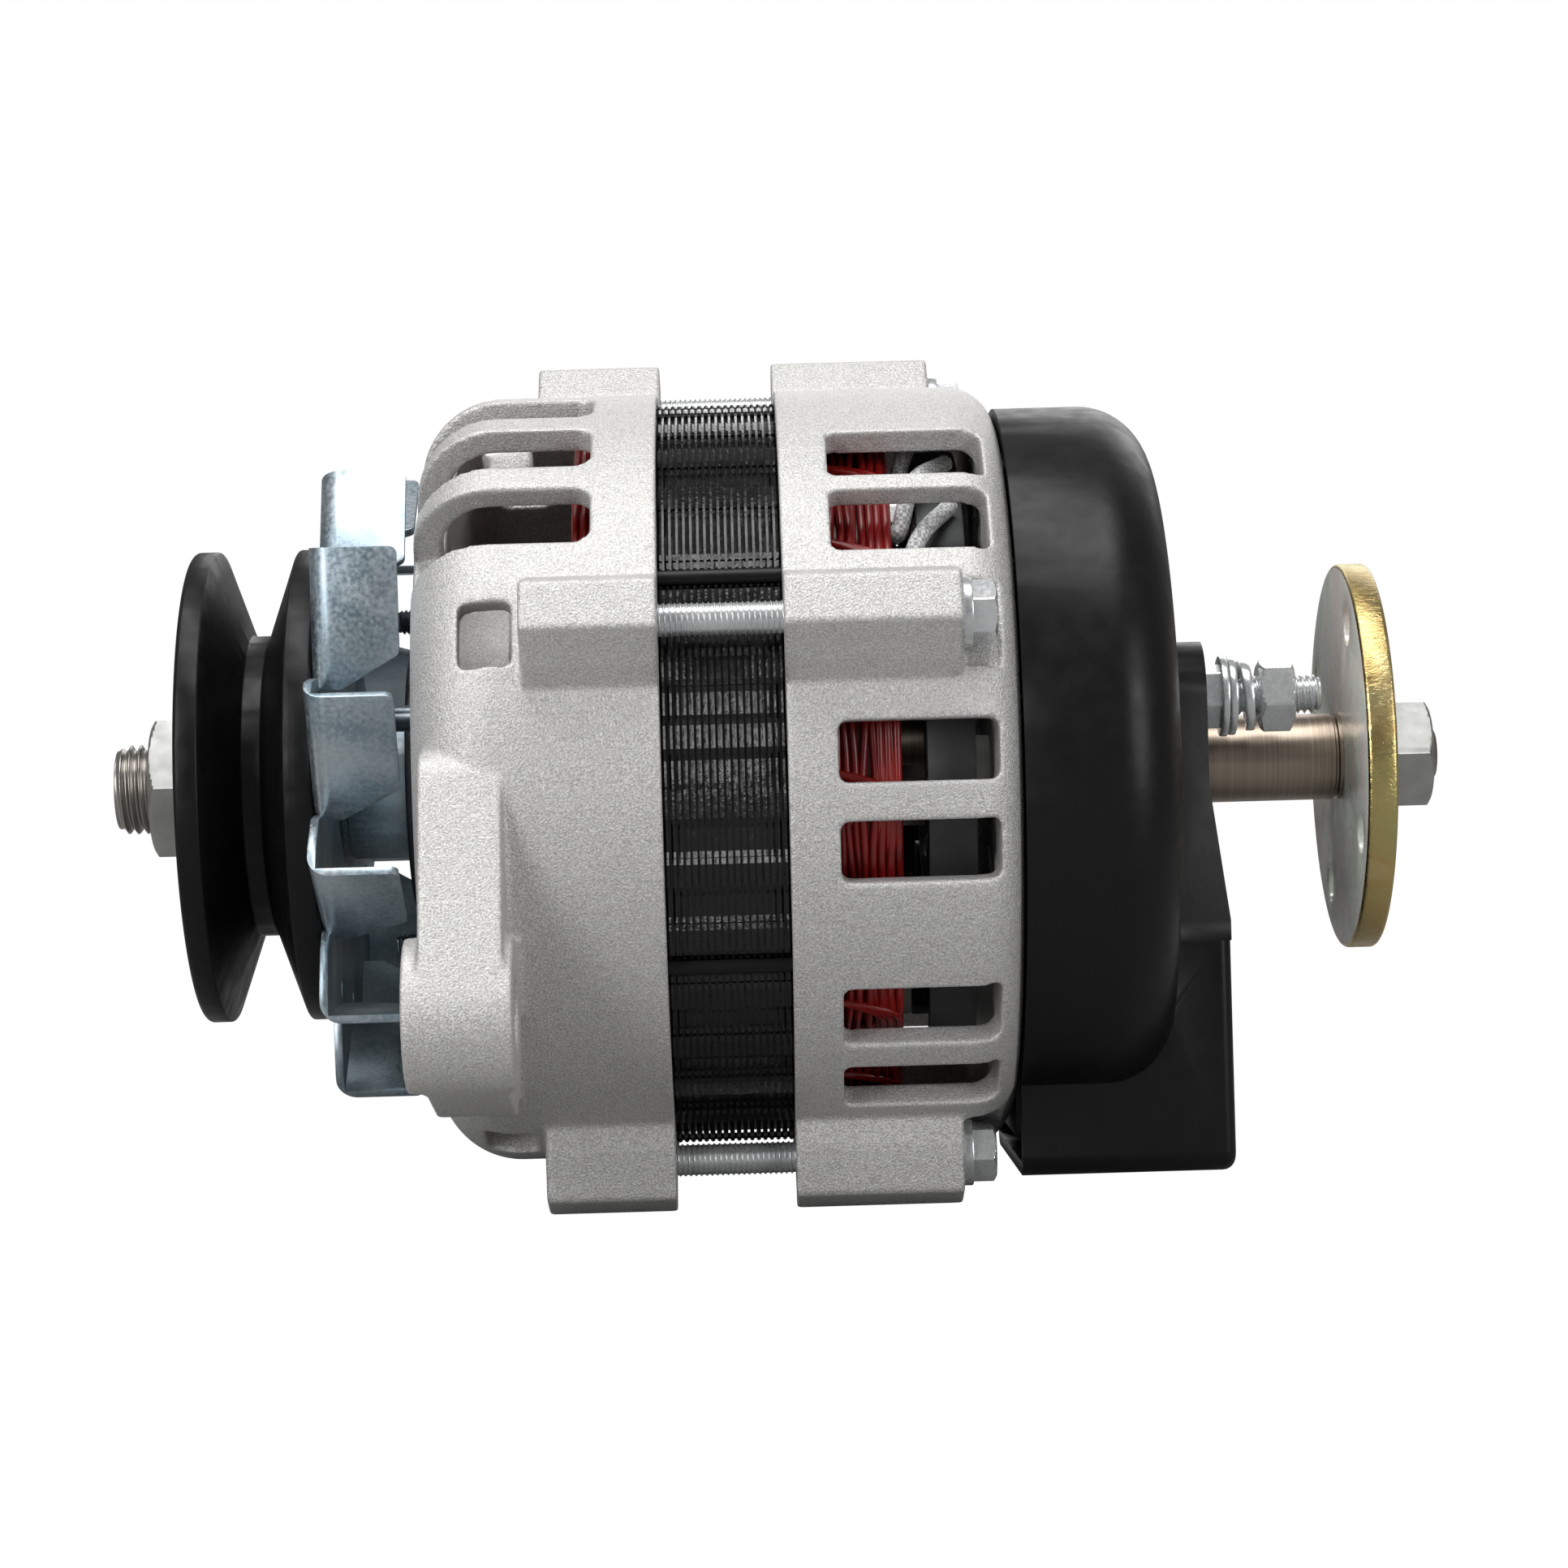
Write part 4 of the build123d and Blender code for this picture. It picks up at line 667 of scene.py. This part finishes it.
def make_end_turns():
    """Loops that cross each end of the winding, and a belt of wires round them."""
    low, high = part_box("stator_winding")
    core_low, core_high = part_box("stator_core")
    random.seed(5)
    outer = high.z
    inner = outer - 9.5 * MM
    gauge = 0.62 * MM
    row_pitch, layer_pitch = 2.02 * gauge, 2.1 * gauge
    coils, strands, steps, belt_steps = 18, 9, 22, 144
    routes = []
    for end, base in ((low.x, core_low.x), (high.x, core_high.x)):
        side = 1 if end > base else -1
        reach = abs(end - base)
        for coil in range(coils):
            start = TURN * coil / coils
            for strand in range(strands):
                spread = TURN / coils * (1.45 + 0.02 * strand)
                layer = strand % 3
                depth = (strand // 3) * layer_pitch
                top = reach - gauge * 1.2 - layer * layer_pitch - random.uniform(0, 0.3 * MM)
                far = outer - gauge * 1.1 - depth - random.uniform(0, 0.2 * MM)
                route = []
                for step in range(steps + 1):
                    share = step / steps
                    rise = 1 - (1 - min(1, 6 * min(share, 1 - share))) ** 2
                    lean = 3.6 * MM * share * (1 if coil % 2 else 0.5)
                    angle = start + spread * share + random.uniform(-0.001, 0.001)
                    route.append(around(base + side * top * rise, far - lean * 0.5, angle))
                routes.append(route)
        # Outer belt of wires that run round the bundle, as they show in the windows
        rows = int(reach / row_pitch) - 1
        for row in range(rows):
            route = []
            phase = random.uniform(0, TURN)
            for step in range(belt_steps):
                angle = TURN * step / belt_steps
                sway = 0.35 * MM * math.sin(6 * angle + phase) + 0.18 * MM * math.sin(17 * angle + 2 * phase)
                x = base + side * (gauge * 1.5 + row * row_pitch) + sway
                route.append(around(x, outer - gauge * 2.2 + 0.25 * MM * math.sin(9 * angle + phase), angle))
            routes.append(route + [route[0]])
    piece = wire("end_turn_wires", routes, gauge, sides=2)
    settle(piece, "housing", "wire", ["stator_winding"])
    for label, end, base in (("front", low.x, core_low.x), ("rear", high.x, core_high.x)):
        side = 1 if end > base else -1
        tip = end - side * 2.2 * MM
        core = [(base, outer - 2.2 * MM), (tip, outer - 2.6 * MM), (tip, inner), (base, inner)]
        settle(lathe(f"{label}_bundle_core", core), "housing", "wire")


make_end_turns()


# ---------------------------------------------------------------------------
# Threads
# ---------------------------------------------------------------------------

def make_shaft_look():
    """Turned shaft with a groove before the flange, and a thread at each end."""
    low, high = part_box("shaft")
    front_nut_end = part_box("front_nut")[1].x
    rear_nut_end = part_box("rear_nut")[1].x
    flange_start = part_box("drive_flange")[0].x
    hub_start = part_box("slip_ring_hub")[0].x
    front_seat_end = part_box("front_bearing_inner_ring")[1].x
    rear_seat_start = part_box("rear_bearing_inner_ring")[0].x
    front_major, rear_major = 7.0 * MM, 5.0 * MM
    front_core, rear_core = 6.0 * MM, rear_major - 0.6 * MM
    plain_radius, seat, core = 6.7 * MM, 7.45 * MM, 8.95 * MM
    groove = plain_radius - 0.35 * MM
    outline = [
        (low.x + 0.6 * MM, 0.0),
        (low.x + 0.6 * MM, 5.8 * MM),
        (low.x + 1.0 * MM, front_core),
        (front_nut_end, front_core),
        (front_nut_end, seat),
        (front_seat_end, seat),
        (front_seat_end, core),
        (rear_seat_start, core),
        (rear_seat_start, seat),
        (hub_start, seat),
        (hub_start, plain_radius),
        (flange_start - 1.3 * MM, plain_radius),
        (flange_start - 1.1 * MM, groove),
        (flange_start - 0.8 * MM, groove),
        (flange_start - 0.6 * MM, plain_radius),
        (flange_start, plain_radius),
        (flange_start, rear_core),
        (high.x - 0.9 * MM, rear_core),
        (high.x, rear_major - 1.4 * MM),
        (high.x, 0.0),
    ]
    settle(lathe("shaft_body", outline), "rotor", "turned", ["shaft"])
    pitch, sink = 1.5 * MM, 1 * MM
    front = thread_mesh(
        low.x, front_nut_end - sink, front_major, pitch, 0.95 * MM, steps=72, rows_per_turn=10,
    )
    rear = thread_mesh(rear_nut_end - sink, high.x - 0.5 * MM, rear_major, pitch, 0.75 * MM, steps=48)
    settle(join_meshes("shaft_threads", [front, rear]), "rotor", "thread")


def terminal_center():
    low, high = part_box("terminal_stud")
    return ((low.y + high.y) / 2, (low.z + high.z) / 2)


def make_stud_look():
    """Output stud: a thread that starts inside the base nut, and a head behind the cover."""
    low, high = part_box("terminal_stud")
    base_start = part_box("terminal_base_nut")[0].x
    center = terminal_center()
    major, shank, pitch, depth = 3.0 * MM, 2.9 * MM, 1.0 * MM, 0.55 * MM
    head_radius, head_end = 5.2 * MM, low.x + 4 * MM
    thread = thread_mesh(base_start - 3 * MM, high.x, major, pitch, depth, center, 40, 8)
    settle(join_meshes("terminal_stud_thread", [thread]), "housing", "zinc", ["terminal_stud"])
    head = [
        (low.x, 0.0), (low.x, head_radius), (head_end, head_radius), (head_end, shank),
        (base_start, shank), (base_start, 0.0),
    ]
    settle(lathe("terminal_stud_head", head, center, 6), "housing", "zinc")


def make_bolts():
    """Through bolts with their washers, and the ends of the retainer's screws."""
    tuck = 2 * MM
    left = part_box("front_bracket")[1].x - tuck
    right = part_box("rear_bracket")[0].x + tuck
    screw_low, screw_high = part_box("retainer_screws")
    bolt_low, bolt_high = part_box("through_bolts")
    washer_low, washer_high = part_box("through_bolt_washers")
    bolt_thread = {"major": 2.5 * MM, "pitch": 0.8 * MM, "depth": 0.42 * MM, "steps": 28, "rows_per_turn": 7}
    bolt_shank = {"major": 2.25 * MM, "pitch": 0.8 * MM, "depth": 0.0, "steps": 28, "rows_per_turn": 1}
    screw_thread = {"major": 2.0 * MM, "pitch": 0.7 * MM, "depth": 0.42 * MM, "steps": 24, "rows_per_turn": 7}
    screw_end, screw_sink = 2 * MM, 8 * MM
    threads, heads, screws, places = [], [], [], []
    for number in range(BOLTS):
        angle = FIRST_BOLT + TURN * number / BOLTS
        place = around(0, BOLT_CIRCLE, angle)[1:]
        threads.append(thread_mesh(left, right, center=place, **bolt_thread))
        heads.append(thread_mesh(bolt_low.x, washer_high.x, center=place, **bolt_shank))
        heads.append(hexagon_piece(washer_high.x, bolt_high.x, 8 * MM, 0.0, place, angle, (0, 0.25 * MM)))
        places.append(place)
        place = around(0, RETAINER_SCREW_CIRCLE, angle)[1:]
        front = (screw_low.x - screw_end, screw_low.x + screw_sink)
        back = (screw_high.x - screw_sink, screw_high.x - screw_end)
        for start, end in (front, back):
            screws.append(thread_mesh(start, end, center=place, **screw_thread))
    bolts = sharpen(join_meshes("through_bolt_heads", heads))
    settle(bolts, "housing", "zinc", ["through_bolts"])
    settle(join_meshes("through_bolt_threads", threads), "housing", "zinc")
    outline = rounded_ring(washer_low.x, washer_high.x, 2.3 * MM, 5.0 * MM, 0.2 * MM)
    for number, place in enumerate(places):
        washer = lathe(f"bolt_washer_{number}", outline, place, 48)
        settle(washer, "housing", "zinc", ["through_bolt_washers"] if number == 0 else ())
    settle(join_meshes("retainer_screw_threads", screws), "housing", "dark_zinc")
    finish_node("retainer_screws", "dark_zinc", 0.1 * MM)


def rounded_ring(start, end, inner, outer, edge):
    """Outline of a flat washer with softened rims."""
    near = edge * 0.3
    return [
        (start, inner), (start, outer - edge), (start + near, outer - near), (start + edge, outer),
        (end - edge, outer), (end - near, outer - near), (end, outer - edge), (end, inner),
    ]


def make_nuts():
    for name, node, flats, bore, chamfer in (
        ("pulley_nut", "front_nut", 21 * MM, 6.4 * MM, (0.5 * MM, 0.3 * MM)),
        ("flange_nut", "rear_nut", 16 * MM, 4.4 * MM, (0.0, 0.5 * MM)),
    ):
        low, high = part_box(node)
        piece = join_meshes(name, [hexagon_piece(low.x, high.x, flats, bore, (0, 0), chamfer=chamfer)])
        settle(sharpen(piece), "rotor", "bright", [node])


def make_terminal_hardware():
    """Base nut, two flat washers and the output nut, turned to show the faces that the real ones do."""
    center = terminal_center()
    base_low, base_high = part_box("terminal_base_nut")
    washer_low, washer_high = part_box("terminal_washers")
    nut_low, nut_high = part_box("terminal_nut")
    base_turn, nut_turn, cone = math.radians(16), math.radians(17), 0.45 * MM
    base = hexagon_piece(base_low.x, base_high.x, 8.8 * MM, 2.9 * MM, center, base_turn)
    settle(sharpen(join_meshes("base_nut", [base])), "housing", "zinc", ["terminal_base_nut"])
    middle = (washer_low.x + washer_high.x) / 2
    slit, bore, edge = 0.05 * MM, 2.9 * MM, 0.25 * MM
    for number, (start, end, radius, replaced) in enumerate((
        (washer_low.x, middle - slit, 6.15 * MM, ["terminal_washers"]),
        (middle + slit, washer_high.x, 5.95 * MM, ()),
    )):
        washer = lathe(f"terminal_washer_{number}", rounded_ring(start, end, bore, radius, edge), center)
        settle(washer, "housing", "zinc", replaced)
    nut = hexagon_piece(nut_low.x, nut_high.x, 10 * MM, 2.6 * MM, center, nut_turn, (cone, cone))
    settle(sharpen(join_meshes("output_nut", [nut])), "housing", "zinc", ["terminal_nut"])


def make_spring_washer():
    """One turn of a helix with a rounded square section, from the washers to the output nut."""
    center = terminal_center()
    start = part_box("terminal_washers")[1].x
    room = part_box("terminal_nut")[0].x - start
    bore, width, thick, edge = 3.3 * MM, 2.05 * MM, 1.5 * MM, 0.35 * MM
    first, sweep, steps = math.radians(8), math.radians(344), 90
    section = []
    for x, r, begin in ((1, 1, 0), (0, 1, 90), (0, 0, 180), (1, 0, 270)):
        for share in (0, 0.5, 1):
            a = math.radians(begin + 90 * share)
            section.append((
                x * thick + (-edge if x else edge) * (1 - abs(math.cos(a))),
                bore + r * width + (-edge if r else edge) * (1 - abs(math.sin(a))),
            ))
    vertices, faces = [], []
    for step in range(steps + 1):
        share = step / steps
        for x, r in section:
            vertices.append(around(start + x + (room - thick) * share, r, first + sweep * share, center))
    count = len(section)
    for step in range(steps):
        here, there = step * count, (step + 1) * count
        for i in range(count):
            j = (i + 1) % count
            faces.append((here + i, here + j, there + j, there + i))
    faces += [tuple(reversed(range(count))), tuple(range(steps * count, (steps + 1) * count))]
    spring = sharpen(join_meshes("spring_washer", [(vertices, faces)]), 40)
    settle(spring, "housing", "zinc", ["terminal_spring_washer"])


def make_leads():
    """Sleeved wires from the winding to the rectifier plate."""
    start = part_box("stator_leads")[0].x
    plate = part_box("rectifier_heat_sink")[0].x
    root, crest, end, end_x = 48.3 * MM, 51.8 * MM, 50.4 * MM, -65.8 * MM
    stops = ((start, root, 0), (start + 1.2 * MM, root, 0), (plate, crest, 9), (end_x, end, 19))
    routes = [
        smooth_route([around(x, radius, math.radians(degrees - turn)) for x, radius, turn in stops])
        for degrees in LEAD_ANGLES
    ]
    settle(wire("lead_sleeves", routes, 1.3 * MM), "housing", "braid", ["stator_leads"])


make_shaft_look()
make_stud_look()
make_bolts()
make_nuts()
make_terminal_hardware()
make_spring_washer()
make_leads()


# ---------------------------------------------------------------------------
# Studio
# ---------------------------------------------------------------------------

def camera_white(name, shade):
    """A surface that looks plain white to the camera and lights the object softly."""
    material = bpy.data.materials.new(name)
    material.use_nodes = True
    tree = material.node_tree
    tree.nodes.clear()
    output = tree.nodes.new("ShaderNodeOutputMaterial")
    mix = tree.nodes.new("ShaderNodeMixShader")
    path = tree.nodes.new("ShaderNodeLightPath")
    diffuse = tree.nodes.new("ShaderNodeBsdfDiffuse")
    glow = tree.nodes.new("ShaderNodeEmission")
    diffuse.inputs["Color"].default_value = (shade, shade, shade, 1)
    tree.links.new(path.outputs["Is Camera Ray"], mix.inputs["Fac"])
    tree.links.new(diffuse.outputs["BSDF"], mix.inputs[1])
    tree.links.new(glow.outputs["Emission"], mix.inputs[2])
    tree.links.new(mix.outputs["Shader"], output.inputs["Surface"])
    return material


def make_floor():
    size = 3.0
    level = bounds_at_start[0][2] - 0.5 * MM
    corners = [(-size, -size, level), (size, -size, level), (size, size, level), (-size, size, level)]
    floor = mesh_object("floor", corners, [(0, 1, 2, 3)], smooth=False)
    floor.data.materials.append(camera_white("floor_white", 0.32))


def make_world():
    world = bpy.data.worlds.new("studio")
    bpy.context.scene.world = world
    world.use_nodes = True
    tree = world.node_tree
    background = tree.nodes["Background"]
    path = tree.nodes.new("ShaderNodeLightPath")
    mix = tree.nodes.new("ShaderNodeMix")
    mix.data_type = "FLOAT"
    mix.inputs["A"].default_value = 0.22
    mix.inputs["B"].default_value = 1.0
    tree.links.new(path.outputs["Is Camera Ray"], mix.inputs["Factor"])
    tree.links.new(mix.outputs["Result"], background.inputs["Strength"])
    background.inputs["Color"].default_value = (1, 1, 1, 1)


def soft_box(name, place, aim, width, height, power):
    data = bpy.data.lights.new(name, "AREA")
    data.shape = "RECTANGLE"
    data.size = width
    data.size_y = height
    data.energy = power
    lamp = bpy.data.objects.new(name, data)
    bpy.context.scene.collection.objects.link(lamp)
    lamp.location = place
    lamp.rotation_euler = (Vector(aim) - Vector(place)).to_track_quat("-Z", "Y").to_euler()


def make_camera():
    distance = 0.620
    foot = -0.0985
    data = bpy.data.cameras.new("camera")
    data.lens = 91.3
    data.sensor_width = 36.0
    data.clip_start = 0.01
    data.clip_end = 20
    camera = bpy.data.objects.new("camera", data)
    bpy.context.scene.collection.objects.link(camera)
    turn = Matrix.Rotation(math.radians(-0.68), 4, "Z")
    tilt = Matrix.Rotation(math.radians(90 - 0.18), 4, "X")
    roll = Matrix.Rotation(math.radians(-1.61), 4, "Z")
    camera.matrix_world = Matrix.Translation((foot, -distance, 0)) @ turn @ tilt @ roll
    bpy.context.scene.camera = camera


make_floor()
make_world()
middle = (-0.095, 0, 0)
soft_box("top_light", (-0.15, -0.20, 0.75), middle, 0.8, 0.45, 5.2)
soft_box("front_left_light", (-0.75, -0.75, 0.30), middle, 0.35, 0.7, 4.6)
soft_box("front_right_light", (0.65, -0.70, 0.15), middle, 0.3, 0.7, 3.3)
soft_box("back_light", (0.1, 0.8, 0.5), middle, 0.8, 0.5, 2.0)
make_camera()
scene = bpy.context.scene
scene.view_settings.view_transform = "Standard"
